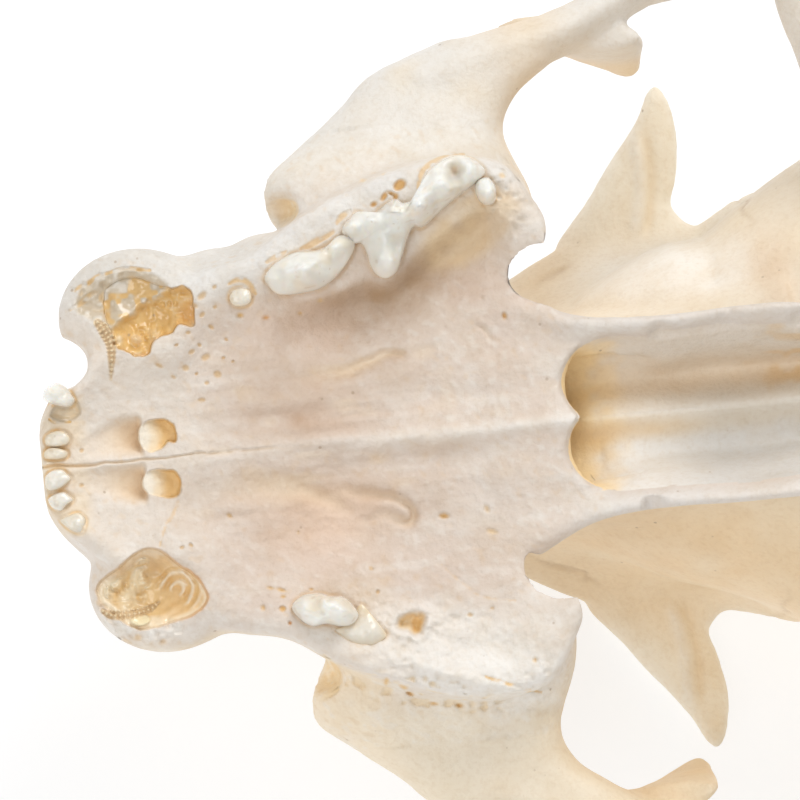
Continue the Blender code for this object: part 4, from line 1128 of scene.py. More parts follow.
recess_in = inside(flat, LEFT_RECESS) + 0.15 * rag
recess = ramp(recess_in, -0.12, 0.3)
rough = recess * fall(inside(flat, LEFT_JELLY), -0.2, 0.3)
jelly_in = inside(flat, LEFT_JELLY) + 0.14 * rag
jelly = ramp(jelly_in, -0.04, 0.10)
bright = ramp(inside(flat, BRIGHT_JELLY) + 0.3 * rag, -0.3, 0.35) * jelly
pale = jelly - bright
depth += 0.95 * ramp(recess_in, -0.15, 1.2) + rough * (0.22 * lumps + 0.14 * small_lumps + 0.05 * grains)
depth += bright * (0.6 + 0.5 * ramp(jelly_in, 0, 0.9) - 1.5 * blobs**2 - 0.5 * small_lumps**2)
depth += pale * (0.3 - 0.9 * blobs**2)
roof_tints = coated(
    roof_tints,
    (RECESS_TAN, 0.85 * recess),
    (CHALK, 0.6 * recess * ramp(-small_lumps - 0.6 * lumps, 0.25, 0.9)),
    (AMBER, 0.5 * recess * ramp(lumps + 0.3 * small_lumps, 0.2, 0.6)),
    (RECESS_TAN, jelly),
    (CHALK, 0.55 * pale * ramp(-small_lumps, 0.1, 0.6)),
    (AMBER, 0.9 * pale * ramp(small_lumps + 0.6 * lumps, 0.1, 0.6)),
    (HONEY, bright),
    (PALE_HONEY, 0.55 * bright * ramp(np.abs(blobs) - 0.25 * np.abs(small_lumps), 0.2, 0.55)),
    (DEEP_HONEY, 0.65 * bright * fall(np.abs(blobs), 0, 0.3)),
    (ORANGE, 0.45 * bright * bell(jelly_in, 0, 0.2)),
    (ORANGE, 0.55 * bright * bell(oval_reach(flat, (10.5, -9.2), (0.8, 1.2), 0.1))),
)
roof_wet = np.maximum(roof_wet, np.maximum(jelly, 0.5 * recess))


# The right eye tooth's socket.
# An open bowl: dried jelly with a yellow block on its left half, and bone laid in curled
# folds on its right, with an orange line round its edge and painted shade on its side
# towards the midline.
SOCKET_PAINTED_SHADE = (0.74, 0.55, 0.35)
SWIRL_HONEY = (0.87, 0.60, 0.30)
FOLD_CREAM = (0.95, 0.87, 0.72)
JELLY_CREAM = (0.95, 0.86, 0.66)
BLOCK_YELLOW = (0.93, 0.82, 0.55)
RIGHT_SOCKET = (
    (2.6, 8.3), (3.2, 7.65), (4.2, 7.1), (5.5, 6.2), (6.6, 6.0), (7.55, 6.5), (8.3, 7.3), (9.15, 7.9),
    (9.85, 8.85), (10.05, 9.7), (9.6, 10.4), (8.7, 10.9), (7.7, 11.1), (6.75, 11.3), (5.7, 11.45),
    (4.9, 11.25), (4.1, 10.7), (3.25, 9.95), (2.65, 9.15),
)
FOLD_MIDDLE, FOLD_REACH = (7.9, 9.15), 2.1
YELLOW_BLOCK = ((5.35, 10.75), (0.65, 0.38), 0.05)

socket_in = inside(flat, RIGHT_SOCKET) + 0.06 * rag
socket = ramp(socket_in, -0.05, 0.16)
bowl = ramp(socket_in, 0.0, 1.5)
fold_away = flat - FOLD_MIDDLE
fold_reach = np.hypot(fold_away[:, 0], 1.15 * fold_away[:, 1]) + 0.22 * lumps + 0.06 * small_lumps
fold_turn = np.arctan2(fold_away[:, 1], fold_away[:, 0])
folds = np.sin(fold_reach * 8.5 + 1.2 * np.sin(1.5 * fold_turn + 0.6) + 0.5) * socket * ramp(a, 6.4, 7.0)
folds *= band(fold_reach, 0.15, 0.5, FOLD_REACH - 0.5, FOLD_REACH) * ramp(np.cos(fold_turn + 0.9), -0.6, 0.0)
jelly_half = fall(a - 0.4 * lumps, 5.8, 6.3) * fall(l, 9.8, 10.2) * ramp(socket_in, 0.4, 0.7)
block = fall(oval_reach(flat, *YELLOW_BLOCK), 0.9, 1.15)
depth += socket * (0.35 + 0.75 * bowl) + 0.15 * folds + 0.10 * (socket - jelly_half) * small_lumps
depth += jelly_half * (0.3 - 1.4 * blobs**2 - 0.6 * small_lumps**2) - 0.4 * block
# Painted shade: brown on the socket's side towards the midline
roof_tints = coated(
    roof_tints,
    (PALE_HONEY, socket),
    (HONEY, 0.8 * socket * ramp(bowl + 0.4 * lumps, 0.3, 0.9)),
    (SOCKET_PAINTED_SHADE, socket * fall(l, 6.8, 8.6) * (0.75 + 0.4 * lumps)),
    (SWIRL_HONEY, socket * (0.75 + 0.25 * lumps) * ramp(a, 6.2, 8.0) * ramp(socket_in, 0.1, 0.5)),
    (FOLD_CREAM, 0.8 * np.clip(-folds, 0, 1)),
    (AMBER, 0.45 * np.clip(folds, 0, 1)),
    (JELLY_CREAM, jelly_half * (0.45 + 0.5 * ramp(np.abs(blobs), 0.15, 0.5))),
    (AMBER, 0.6 * jelly_half * fall(np.abs(blobs), 0, 0.2)),
    (ORANGE, bell(socket_in, 0.06, 0.11) * (0.15 + 0.5 * ramp(a, 7.0, 9.5))),
    (BLOCK_YELLOW, block),
)
roof_wet = np.maximum(roof_wet, 0.75 * socket + 0.25 * jelly_half)


# Rows of cells, small sockets, pits, pores and stains.
# Rows of tiny cells along a slit beside each eye tooth's socket, the empty socket of a front
# tooth, a healed hole on the right, vessel holes, and amber that has gathered in the cracks.
CELL_BROWN = (0.68, 0.49, 0.28)
CELL_CREAM = (0.93, 0.80, 0.56)
HEALED_TAN = (0.90, 0.74, 0.50)
CHAIN_AMBER = (0.78, 0.49, 0.17)
CELL_PITCH = (0.31, 0.30)  # along the slit and across it
CELL_SLITS = (  # each key is a place and a half width
    ((4.4, -9.3, 0.30), (4.85, -8.6, 0.44), (5.15, -7.7, 0.36), (5.1, -6.7, 0.26), (4.9, -5.4, 0.09)),
    ((2.9, 9.9, 0.2), (3.5, 10.25, 0.32), (4.7, 10.3, 0.34), (5.9, 10.1, 0.28), (6.6, 9.7, 0.14)),
)
FRONT_TOOTH_SOCKET = (
    (0.6, -3.5), (1.3, -4.3), (2.35, -4.25), (2.7, -3.95), (2.65, -3.25), (1.85, -2.85), (1.0, -3.0),
)
HEALED_HOLE = ((22.6, 12.2), (23.4, 11.9), (24.3, 12.2), (24.1, 12.9), (23.7, 13.4), (23.0, 13.1), (22.4, 12.9))
PITS = {  # for each colour: place, half sizes, turn, depth, raggedness
    CHAIN_AMBER: (
        (25.3, -16.5, 0.50, 0.34, -0.6, 0.45, 0.35),
        (24.75, -16.0, 0.36, 0.15, 0.5, 0.4, 0.3),
        (24.25, -15.85, 0.34, 0.19, -0.9, 0.35, 0.3),
        (23.5, -15.4, 0.26, 0.18, -0.4, 0.3, 0.3),
        (25.0, -15.75, 0.2, 0.26, 0.3, 0.3, 0.4),
    ),
    AMBER: (
        (26.2, 5.75, 0.38, 0.2, 0.15, 0.35, 0.1),
        (31.5, -7.2, 0.16, 0.26, 0.0, 0.4, 0.1),
        (14.2, 9.45, 0.3, 0.15, 0.25, 0.2, 0.3),
        (14.9, 9.65, 0.35, 0.12, 0.35, 0.2, 0.3),
        (16.9, 9.8, 0.16, 0.1, 0.0, 0.2, 0.2),
        (13.6, 10.7, 0.16, 0.22, 0.0, 0.25, 0.3),
        (14.9, 10.9, 0.25, 0.2, 0.0, 0.25, 0.3),
        (15.0, 10.1, 0.2, 0.14, 0.0, 0.2, 0.3),
        (21.3, 16.4, 0.2, 0.32, 0.3, 0.4, 0.2),
        (22.4, 16.9, 0.36, 0.18, 0.6, 0.4, 0.3),
        (22.8, 17.4, 0.3, 0.16, 0.5, 0.4, 0.3),
        (24.3, 18.2, 0.4, 0.15, 0.2, 0.35, 0.3),
        (26.0, 18.5, 0.26, 0.14, 0.3, 0.35, 0.3),
        (31.3, 15.9, 0.14, 0.18, 0.4, 0.25, 0.3),
        (17.9, -8.7, 0.16, 0.14, 0.0, 0.2, 0.3),
        (13.9, -8.9, 0.24, 0.18, 0.0, 0.2, 0.2),
    ),
    ORANGE: (
        (15.3, 11.9, 0.12, 0.14, 0.0, 0.3, 0.1),
        (15.6, -8.6, 0.28, 0.16, 0.0, 0.2, 0.3),
    ),
    TAN: (
        (29.1, 5.55, 0.16, 0.3, -0.4, 0.3, 0.1),
        (29.3, 7.1, 0.42, 0.2, 0.3, 0.25, 0.2),
        (32.2, -16.5, 0.24, 0.2, 0.4, 0.2, 0.3),
        (22.9, -17.2, 0.26, 0.2, 0.4, 0.2, 0.3),
        (24.3, -17.4, 0.14, 0.12, 0.4, 0.2, 0.3),
    ),
    UMBER: ((30.1, -8.6, 0.1, 0.1, 0.0, 0.2, 0.1),),
    CHALK: (
        (32.4, -15.6, 0.3, 0.18, 0.8, 0.2, 0.3),
        (33.0, -15.0, 0.26, 0.16, 0.7, 0.2, 0.3),
        (31.9, -15.0, 0.2, 0.16, 0.4, 0.15, 0.3),
    ),
}
PORES = (  # place, half length, half breadth
    (10.43, -6.77, 0.20, 0.14), (11.32, -6.35, 0.26, 0.17), (8.21, -6.04, 0.26, 0.12), (9.93, -5.75, 0.21, 0.18),
    (12.01, -5.14, 0.20, 0.17), (9.07, -5.22, 0.16, 0.10), (11.22, -4.62, 0.14, 0.11), (10.78, -3.52, 0.20, 0.12),
    (11.0, -7.18, 0.12, 0.10), (11.39, -9.15, 0.18, 0.12), (10.35, -8.05, 0.14, 0.10), (2.5, -0.9, 0.12, 0.10),
    (2.27, 1.42, 0.12, 0.10), (11.9, 4.36, 0.15, 0.10), (20.99, 8.78, 0.12, 0.10), (11.9, -8.3, 0.16, 0.10),
    (12.3, -9.6, 0.13, 0.10), (12.8, -7.4, 0.12, 0.08), (10.9, -9.8, 0.22, 0.14), (11.5, -10.4, 0.30, 0.16),
    (12.4, -10.9, 0.14, 0.10), (8.6, 6.2, 0.13, 0.09), (9.2, 6.1, 0.13, 0.09), (10.6, -5.3, 0.10, 0.08),
    (12.5, -6.2, 0.11, 0.08), (9.5, -7.3, 0.12, 0.08), (13.1, -5.9, 0.10, 0.07), (28.8, 12.2, 0.10, 0.09),
    (19.3, -9.4, 0.16, 0.11), (21.3, 10.4, 0.10, 0.09), (27.3, 12.5, 0.12, 0.10), (16.4, 5.9, 0.09, 0.07),
)
CRACKS = (  # each key is a place and a half width; then how strong the stain is
    (((3.0, -11.55, 0.10), (4.0, -12.1, 0.16), (5.2, -12.5, 0.14), (6.6, -12.75, 0.12), (8.2, -12.4, 0.12)), 0.75),
    (((2.6, -10.3, 0.1), (3.4, -10.75, 0.16), (4.4, -11.35, 0.14)), 0.7),
    (((18.4, -12.85, 0.14), (19.1, -13.15, 0.22), (19.85, -13.45, 0.2), (20.6, -13.75, 0.14)), 0.6),
    (((20.9, -14.3, 0.12), (21.3, -14.75, 0.2), (21.9, -15.05, 0.12)), 0.6),
    (((16.0, -12.15, 0.12), (16.7, -12.5, 0.18), (17.4, -12.75, 0.12)), 0.5),
    (((26.6, -15.9, 0.1), (26.7, -16.8, 0.17), (27.5, -17.75, 0.17), (28.6, -18.25, 0.15), (29.9, -18.45, 0.1)), 0.6),
    (((8.6, 3.1, 0.08), (8.1, 4.0, 0.12), (7.5, 4.9, 0.1), (7.2, 5.9, 0.08)), 0.4),
    (((27.6, 16.5, 0.06), (28.8, 17.1, 0.12), (30.2, 17.7, 0.14), (31.6, 18.2, 0.06)), 0.8),
    (((25.7, 9.0, 0.07), (27.0, 10.3, 0.1), (28.4, 11.4, 0.1), (30.4, 11.9, 0.07)), 0.3),
    (((13.4, -10.95, 0.1), (14.1, -11.15, 0.18), (14.75, -10.85, 0.18), (15.1, -10.2, 0.1)), 0.7),
    (((0.6, -3.2, 0.08), (1.1, -2.95, 0.16), (1.9, -2.85, 0.1)), 0.9),
)

for keys in CELL_SLITS:
    away, (width,), travelled = along_path(flat, keys, 1.0)
    rows, files = (np.cos(2 * np.pi * run / pitch) for run, pitch in zip((travelled, away), CELL_PITCH))
    beads = (0.5 + 0.5 * rows) * (0.6 + 0.4 * files)
    slit = ramp(width - np.abs(away), -0.05, 0.12)
    depth += slit * (0.2 - 0.3 * beads)
    roof_tints = coated(roof_tints, (CELL_BROWN, 0.85 * slit), (CELL_CREAM, 0.85 * slit * ramp(beads, 0.25, 0.75)))
front_in = inside(flat, FRONT_TOOTH_SOCKET)
healed_in = inside(flat, HEALED_HOLE) + 0.15 * rag
depth += 0.7 * ramp(front_in, -0.05, 0.5) + ramp(healed_in, -0.15, 0.45) - 0.25 * bell(healed_in, -0.3, 0.3)
roof_tints = coated(
    roof_tints,
    (DUSKY, ramp(front_in, -0.1, 0.15)),
    (PALE_HONEY, ramp(front_in, 0.0, 0.4) * ramp(lumps, -0.5, 0.3)),
    (HEALED_TAN, ramp(healed_in, -0.1, 0.25)),
    (AMBER, 0.75 * ramp(healed_in, 0.0, 0.3) * ramp(lumps + 0.5 * small_lumps, -0.1, 0.5)),
)
roof_wet = np.maximum(roof_wet, ramp(front_in, -0.1, 0.2))

for colour, pits in PITS.items():
    for place_a, place_l, long, wide, turn, deep, raggedness in pits:
        reach = oval_reach(flat, (place_a, place_l), (long, wide), turn) + raggedness * rag
        narrow = min(long, wide)
        shape = ramp((1 - reach) * narrow, -0.06, 0.12 + 0.2 * narrow)
        depth += deep * shape
        roof_tints = coated(roof_tints, (colour, 0.9 * shape))
for place_a, place_l, long, wide in PORES:
    turn = 0.75 * math.sin(7.0 * place_a)
    shape = fall(oval_reach(flat, (place_a, place_l), (long, wide), turn) + 0.25 * rag, 0.6, 1.7)
    depth += 0.12 * shape
    roof_tints = coated(roof_tints, (PORE_TAN, 0.8 * shape))
for keys, strength in CRACKS:
    away, (width,), _ = along_path(ragged, keys, 1.0)
    shape = strength * fall(np.abs(away) / width, 0.5, 1.4)
    depth += 0.14 * shape
    roof_tints = coated(roof_tints, (AMBER, shape * ramp(small_lumps, -0.6, 0.1)))


# The sockets that hold teeth.
# The bone grips each root closely: the socket is a shallow bed of the root's outline with a
# fine sunken amber line round it, wider round the small teeth.
TOOTH_OUTLINES = {
    "left_third": (
        (15.75, -11.1), (16.3, -11.9), (17.05, -12.35), (18.05, -12.7), (19.45, -12.7),
        (20.4, -13.05), (20.9, -13.5), (21.85, -13.45), (22.0, -12.7), (21.4, -11.7),
        (20.5, -10.75), (19.5, -10.15), (18.5, -9.95), (17.2, -9.9), (16.4, -10.1),
    ),
    "left_fourth": (
        (21.25, -14.05), (21.85, -14.65), (22.4, -15.0), (23.25, -14.65), (23.95, -15.1), (24.5, -15.45),
        (25.05, -15.6), (25.5, -15.25), (26.45, -15.55), (26.9, -16.1), (27.25, -17.15), (28.45, -17.9),
        (29.6, -18.1), (30.6, -17.6), (31.15, -16.9), (30.65, -16.3), (29.4, -15.5), (28.5, -14.95),
        (27.45, -14.15), (26.6, -13.55), (26.0, -13.6), (25.5, -12.85), (25.1, -11.8), (24.65, -10.8),
        (23.9, -10.35), (23.2, -10.7), (22.85, -11.45), (22.7, -12.2), (22.4, -12.85), (21.8, -12.9), (21.3, -13.45),
    ),
    "left_molar": (
        (30.3, -15.8), (30.55, -16.3), (31.25, -16.45), (31.7, -15.85),
        (31.7, -15.2), (31.5, -14.7), (30.95, -14.6), (30.5, -15.0),
    ),
    "left_second": (
        (13.3, -10.1), (13.55, -10.55), (14.1, -10.7), (14.65, -10.5),
        (14.8, -10.05), (14.6, -9.6), (14.05, -9.45), (13.5, -9.6),
    ),
    "right_third": (
        (15.5, 10.8), (16.3, 10.15), (17.45, 10.1), (18.15, 10.35), (19.0, 10.5), (19.55, 11.05),
        (19.9, 11.8), (19.45, 12.35), (18.7, 12.45), (17.7, 12.2), (16.75, 12.25), (15.95, 11.7),
    ),
    "right_third_rear": (
        (19.3, 12.25), (20.05, 11.1), (20.7, 11.75), (21.45, 12.9), (21.55, 13.45),
        (20.5, 13.9), (19.3, 13.65), (18.4, 13.0), (18.15, 12.6),
    ),
    "left_corner_front": (
        (0.3, -4.7), (0.55, -5.25), (1.25, -5.55), (1.85, -5.25), (2.25, -4.65),
        (2.4, -4.2), (1.95, -3.85), (1.1, -4.05), (0.4, -4.4),
    ),
    "left_second_front": (
        (0.2, -2.0), (0.7, -2.3), (1.35, -2.3), (1.8, -1.9), (1.7, -1.45), (1.0, -1.3), (0.25, -1.45),
    ),
    "left_first_front": (
        (0.05, -1.0), (0.45, -1.25), (1.1, -1.15), (1.55, -0.9), (1.45, -0.55), (0.8, -0.45), (0.1, -0.6),
    ),
    "right_first_front": (
        (0.0, 0.6), (0.5, 0.25), (1.1, 0.25), (1.4, 0.55), (1.65, 0.9),
        (1.35, 1.2), (0.85, 1.5), (0.2, 1.6), (-0.1, 1.25),
    ),
    "right_second_front": (
        (0.0, 2.2), (0.35, 1.9), (1.05, 1.75), (1.4, 2.0), (1.65, 2.35), (1.2, 2.65), (0.8, 3.0), (0.25, 2.75),
    ),
    "right_corner_front": (
        (0.7, 3.6), (1.3, 3.35), (1.95, 3.25), (2.35, 3.65), (2.3, 4.15), (2.05, 4.6), (1.5, 4.45), (1.0, 4.05),
    ),
}

for word, outline in TOOTH_OUTLINES.items():
    small = word.endswith("front") or word == "left_second"
    line_depth, line_stain = (0.09, 0.6) if small else (0.05, 0.25)
    within = inside(flat, outline)
    seam = bell(within, -0.08, 0.1)
    depth += line_depth * seam + 0.15 * ramp(within, -0.1, 0.2)
    roof_tints = coated(
        roof_tints,
        (AMBER, line_stain * seam * ramp(lumps + 0.4 * small_lumps, -0.5, 0.4)),
        (AMBER, 0.8 * ramp(within, 0.0, 0.2)),
    )

points[under, 2] += depth * ramp(-outward[under, 2], 0.02, 0.5)
tints[under] = roof_tints
wet = np.zeros(len(points))
wet[under] = roof_wet


# The horns, walls and wings.
# The rest of the bone is only a little uneven. The horns have a sharp stained ridge, the
# left wall a valley behind its horn, and the thin edges of the wings are chipped.
RIDGE_TAN = (0.86, 0.70, 0.48)
HORN_RIDGE = ((41.7, 12.8), (42.3, 15.0), (42.6, 17.4), (42.5, 19.8), (42.6, 22.0))
VALLEY_MIDDLE, VALLEY_REACH, VALLEY_DEPTH = 46.3, 2.6, 0.7

a, l, h = points.T
elsewhere = np.setdiff1d(np.arange(len(points)), under)
unevenness = 0.07 * cloud(points[elsewhere], 3.0, 51) + 0.025 * cloud(points[elsewhere], 0.9, 52)
points[elsewhere] += outward[elsewhere] * unevenness[:, None]
valley = np.clip(1 - np.abs(a - VALLEY_MIDDLE) / VALLEY_REACH, 0, 1) * ramp(-l, 6, 9) * band(h, 11, 14, 30, 34)
points[:, 1] += VALLEY_DEPTH * valley
for side in SIDES.values():
    on_horn = np.flatnonzero((h > 20) & (h < 32) & (outward[:, 2] < -0.1) & (np.abs(l * side - 17) < 6))
    away, _, travelled = along_path(points[on_horn, :2], np.array(HORN_RIDGE) * (1, side), 5.0)
    away *= -side
    fade = band(travelled, 0, 1.5, 6.6, 8.6)
    points[on_horn, 2] += (0.32 * bell(away, 0.8, 0.45) - 0.25 * bell(away, 0, 0.5)) * fade
    tints[on_horn] = coated(
        tints[on_horn],
        (RIDGE_TAN, 0.5 * bell(away, 0.8, 0.4) * fade),
        (CHALK, 0.4 * bell(away, -0.1, 0.45) * fade),
    )
on_wing = np.flatnonzero((a > 39.5) & (a < 56) & (h < 3.0) & (np.abs(l) < 8.5))
in_plan = points[on_wing] * (1, 1, 0)
chip = 1.6 * np.clip(cloud(in_plan, 1.6, 53) - 0.35, 0, 1) + 0.08 * cloud(in_plan, 0.8, 54)
points[on_wing, 2] += chip * fall(points[on_wing, 2], 1.1, 2.6)


# The throat passage.
# The channel of the breath behind the palate: a pale keel down its middle, orange at its
# front, brownish along the left, partly painted shade, and chalky on the right, partly
# painted light.
THROAT_GREY = (0.86, 0.79, 0.70)
THROAT_TAN_AND_PAINTED_SHADE = (0.84, 0.68, 0.50)
THROAT_BROWN = (0.86, 0.66, 0.42)
THROAT_CHALK_AND_PAINTED_LIGHT = (0.91, 0.885, 0.85)
THROAT_ORANGE = (1.0, 0.77, 0.44)
KEEL_CREAM = (0.97, 0.91, 0.82)

throat = np.flatnonzero((a > 33.5) & (a < 60) & (h > 1.8) & (h < 13) & (np.abs(l) < 6.0) & (outward[:, 2] < 0.1))
a, l, h = points[throat].T
hump = 1.9 * bell(l, 0.1, 1.8) * ramp(a, 34.5, 37.0) + 1.6 * band(a, 33.5, 35.5, 37.0, 44.0)
hump += 0.4 * bell(l, 0.1, 0.5) - 0.5 * bell(l, -2.2, 1.0)
points[throat, 2] -= hump * fall(a, 55, 60) * ramp(h, 4.5, 6.5)
spread = points[throat]
patches = 0.6 * cloud(spread, 1.6, 81) + 0.5 * cloud(spread, 0.7, 82)
# Partly painted shade in the tan band left of the keel, and partly painted light in the chalk on the right
throat_tints = coated(
    tints[throat],
    (THROAT_GREY, 0.55 * fall(l, -1.0, 0.5)),
    (THROAT_TAN_AND_PAINTED_SHADE, (0.75 + 0.25 * patches) * bell(l, -2.0, 1.3) * ramp(h, 3.5, 5.5)),
    (KEEL_CREAM, 0.85 * bell(l, 0.1, 0.9) * ramp(h, 4.5, 6.5)),
    (THROAT_CHALK_AND_PAINTED_LIGHT, 0.95 * ramp(l + 0.35 * patches, 0.9, 2.2) * ramp(a + 0.5 * l, 37.0, 38.5)),
    (THROAT_ORANGE, fall(a - 1.3 * patches, 36.0, 39.5)),
    (THROAT_BROWN, (0.7 + 0.4 * patches) * bell(l, 1.15, 0.6) * band(a, 35, 37, 41, 46)),
    (AMBER, 0.5 * ramp(patches, 0.1, 0.5) * ramp(a, 46, 52) * fall(l, -1.5, 0.5)),
)
tints[throat] = throat_tints * (1 - 0.2 * ramp(a, 40, 46) * ramp(l, -2.5, -0.5))[:, None]


# The bones, parted.
# A grown cat's skull is bones joined by fine seams. Here the skin is cut by hair-thin gaps
# where they join, and each bone is a piece of its own in the place of its solid.
SEAM_BROWN = (0.56, 0.39, 0.23)
JOINTS = (  # place, half sizes, lean, turn in plan, on both sides
    ((32.4, 0.0, 15.0), (15.0, 21.0), -22.0, 0.0, False),
    ((49.4, 0.0, 20.0), (24.0, 24.0), 0.0, 0.0, False),
    ((80.4, 0.0, 17.4), (26.0, 19.0), 24.0, 0.0, False),
    ((26.0, 22.0, 10.0), (9.5, 10.0), 0.0, 60.0, True),
    ((58.0, 24.2, 12.0), (9.0, 9.0), 0.0, 90.0, True),
    ((14.0, 0.0, 10.0), (30.0, 50.0), 0.0, 90.0, False),
    ((5.15, 4.0, 8.0), (5.98, 16.0), 0.0, 46.6, True),
    ((27.0, 6.0, 10.0), (12.15, 22.0), 0.0, -60.3, True),
    ((15.5, 0.0, 14.5), (22.0, 17.5), 90.0, 0.0, False),
)
JOINT_GAP = 0.003
SMALLEST_BONE = 200  # points; anything smaller is a crumb of the cutting
BONES = {  # the node that each bone stands for, and a point near the bone's middle
    "incisive_left": ("upper_jaw_left", (4.0, -3.2, 7.0)),
    "incisive_right": ("upper_jaw_right", (4.0, 3.2, 7.0)),
    "maxilla_left": ("upper_jaw_left", (17.0, -12.0, 6.0)),
    "maxilla_right": ("upper_jaw_right", (17.0, 12.0, 6.0)),
    "palatine_left": ("upper_jaw_left", (29.0, -3.5, 7.0)),
    "palatine_right": ("upper_jaw_right", (29.0, 3.5, 7.0)),
    "nasal_left": ("upper_jaw_left", (19.0, -5.0, 19.5)),
    "nasal_right": ("upper_jaw_right", (19.0, 5.0, 19.5)),
    "frontal": ("forehead", (40.0, 0.0, 24.0)),
    "parietal": ("braincase", (63.0, 0.0, 22.0)),
    "occipital": ("occiput", (83.0, 0.0, 15.0)),
    "zygomatic_left": ("cheek_arch_left", (42.0, -28.0, 12.0)),
    "zygomatic_right": ("cheek_arch_right", (42.0, 28.0, 12.0)),
    "capsule_left": ("ear_capsule_left", (66.8, -12.7, 5.0)),
    "capsule_right": ("ear_capsule_right", (66.8, 12.7, 5.0)),
}


def slab(name, place, half, turning, group):
    """Flat box of the joint's gap in thickness and the half sizes across, turned into the joint's plane."""
    corners = np.array([(x, y, z) for x in (-1, 1) for y in (-1, 1) for z in (-1, 1)], float)
    corners = corners * (JOINT_GAP / 2, *half) @ turning.T + place
    sides = ((0, 1, 3, 2), (4, 6, 7, 5), (0, 4, 5, 1), (2, 3, 7, 6), (0, 2, 6, 4), (1, 5, 7, 3))
    mesh = bpy.data.meshes.new(name)
    mesh.from_pydata(corners.tolist(), [], sides)
    group.objects.link(bpy.data.objects.new(name, mesh))


def egg_gap(name, centre, half, turn, group):
    """Egg-shaped gap round an ear capsule: a thin shell between two eggs, one inside the other."""
    outer = egg(name, centre, half, group, turn).data
    inner = egg("inner_egg", centre, tuple(size - JOINT_GAP for size in half), group, turn)
    count = len(outer.vertices)
    points = [tuple(v.co) for v in outer.vertices] + [tuple(v.co) for v in inner.data.vertices]
    sides = [list(f.vertices) for f in outer.polygons]
    sides += [[n + count for n in reversed(f.vertices)] for f in inner.data.polygons]
    bpy.data.objects.remove(inner, do_unlink=True)
    outer.clear_geometry()
    outer.from_pydata(points, [], sides)


def joint_planes():
    """Each joint's place, half sizes and turning, once or for both sides."""
    for place, half, lean, turn, paired in JOINTS:
        for side in SIDES.values() if paired else (1.0,):
            turning = Matrix.Rotation(math.radians(turn * side), 3, "Z") @ Matrix.Rotation(math.radians(lean), 3, "Y")
            yield sided(place, side), half, np.array(turning)


# The joints show above the palate as fine wavy stained lines, now strong, now faint
spread = points[elsewhere]
waves = 0.5 * cloud(spread, 1.7, 91) + 0.22 * cloud(spread, 0.7, 92)
strength = ramp(cloud(spread, 3.0, 93), -0.7, 0.5) * ramp(spread[:, 2], 13, 16)
stained = np.zeros(len(elsewhere))
for place, half, turning in joint_planes():
    out = (spread - place) @ turning
    within = ramp(half[0] - np.abs(out[:, 1]), 0, 1.5) * ramp(half[1] - np.abs(out[:, 2]), 0, 1.5)
    stained = np.maximum(stained, bell(out[:, 0], -waves, 0.2) * within * strength)
points[elsewhere] -= outward[elsewhere] * (0.12 * stained)[:, None]
tints[elsewhere] = coated(tints[elsewhere], (SEAM_BROWN, 0.42 * stained))

skull_mesh = bpy.data.meshes.new("skull")
skull_mesh.from_pydata(points.tolist(), [], faces.tolist() + odd_faces)
skull = bpy.data.objects.new("skull", skull_mesh)
bpy.context.scene.collection.objects.link(skull)
skin_outward = facing(points, faces)
joint_forms = gathering("joint_forms")
for place, half, turning in joint_planes():
    slab("joint_form", place, half, turning, joint_forms)
for side in SIDES.values():
    centre, half, turn = KNOBS[-1]
    egg_gap("capsule_gap", sided(centre, side), tuple(size + 0.9 for size in half), turn * side, joint_forms)
worked(skull, joint_forms, "DIFFERENCE")


def whole_mesh(body):
    """The body's points, and its faces as one list of corners with the start of each."""
    mesh = body.data
    spots = np.empty(len(mesh.vertices) * 3)
    mesh.vertices.foreach_get("co", spots)
    corners = np.empty(len(mesh.loops), np.int64)
    mesh.loops.foreach_get("vertex_index", corners)
    starts = np.empty(len(mesh.polygons), np.int64)
    mesh.polygons.foreach_get("loop_start", starts)
    return spots.reshape(-1, 3), corners, starts


def connected(corners, owner, count):
    """A label for each point, the same wherever faces join the points."""
    label = np.arange(count)
    faces_count = owner[-1] + 1
    while True:
        low = np.full(faces_count, count)
        np.minimum.at(low, owner, label[corners])
        spread = label.copy()
        np.minimum.at(spread, corners, low[owner])
        spread = spread[spread]
        if np.array_equal(spread, label):
            return label
        label = spread


parted, corners, starts = whole_mesh(skull)
bpy.data.objects.remove(skull, do_unlink=True)
sizes = np.diff(np.append(starts, len(corners)))
owner = np.repeat(np.arange(len(starts)), sizes)
label = connected(corners, owner, len(parted))

# Each point of the parted bones takes the colour and direction of the nearest skin point
tree = KDTree(len(points))
for n, point in enumerate(points):
    tree.insert(point, n)
tree.balance()
source = np.fromiter((tree.find(spot)[1] for spot in parted), np.int64, len(parted))


def wired(tree, node, sockets):
    """Sets a node's sockets, each to a value or to another node's outlet, and gives the node."""
    for word, given in sockets.items():
        if isinstance(given, bpy.types.NodeSocket):
            tree.links.new(given, node.inputs[word])
        else:
            node.inputs[word].default_value = given
    return node


def added(tree, kind, sockets, **settings):
    """Adds a node of the kind, with its settings and then its sockets."""
    node = tree.nodes.new(kind)
    for word, setting in settings.items():
        setattr(node, word, setting)
    return wired(tree, node, sockets)


def noise(tree, place, scale, detail, roughness):
    """A cloudy value from 0 to 1 on the place."""
    sockets = {"Vector": place, "Scale": scale, "Detail": detail, "Roughness": roughness}
    return added(tree, "ShaderNodeTexNoise", sockets).outputs["Fac"]


def between(tree, value, low, high, start, end):
    """The value's range from low to high spread evenly from start to end."""
    sockets = {"Value": value, "From Min": low, "From Max": high, "To Min": start, "To Max": end}
    return added(tree, "ShaderNodeMapRange", sockets).outputs["Result"]


def blended(tree, kind, share, first, second):
    """The first colour with a share of the second, mixed or multiplied into it."""
    sockets = {"Factor": share, "A": first, "B": second}
    return added(tree, "ShaderNodeMix", sockets, data_type="RGBA", blend_type=kind).outputs["Result"]


def product(tree, first, second, more=0.0):
    """The first value times the second, plus a third."""
    sockets = {0: first, 1: second, 2: more}
    return added(tree, "ShaderNodeMath", sockets, operation="MULTIPLY_ADD").outputs["Value"]


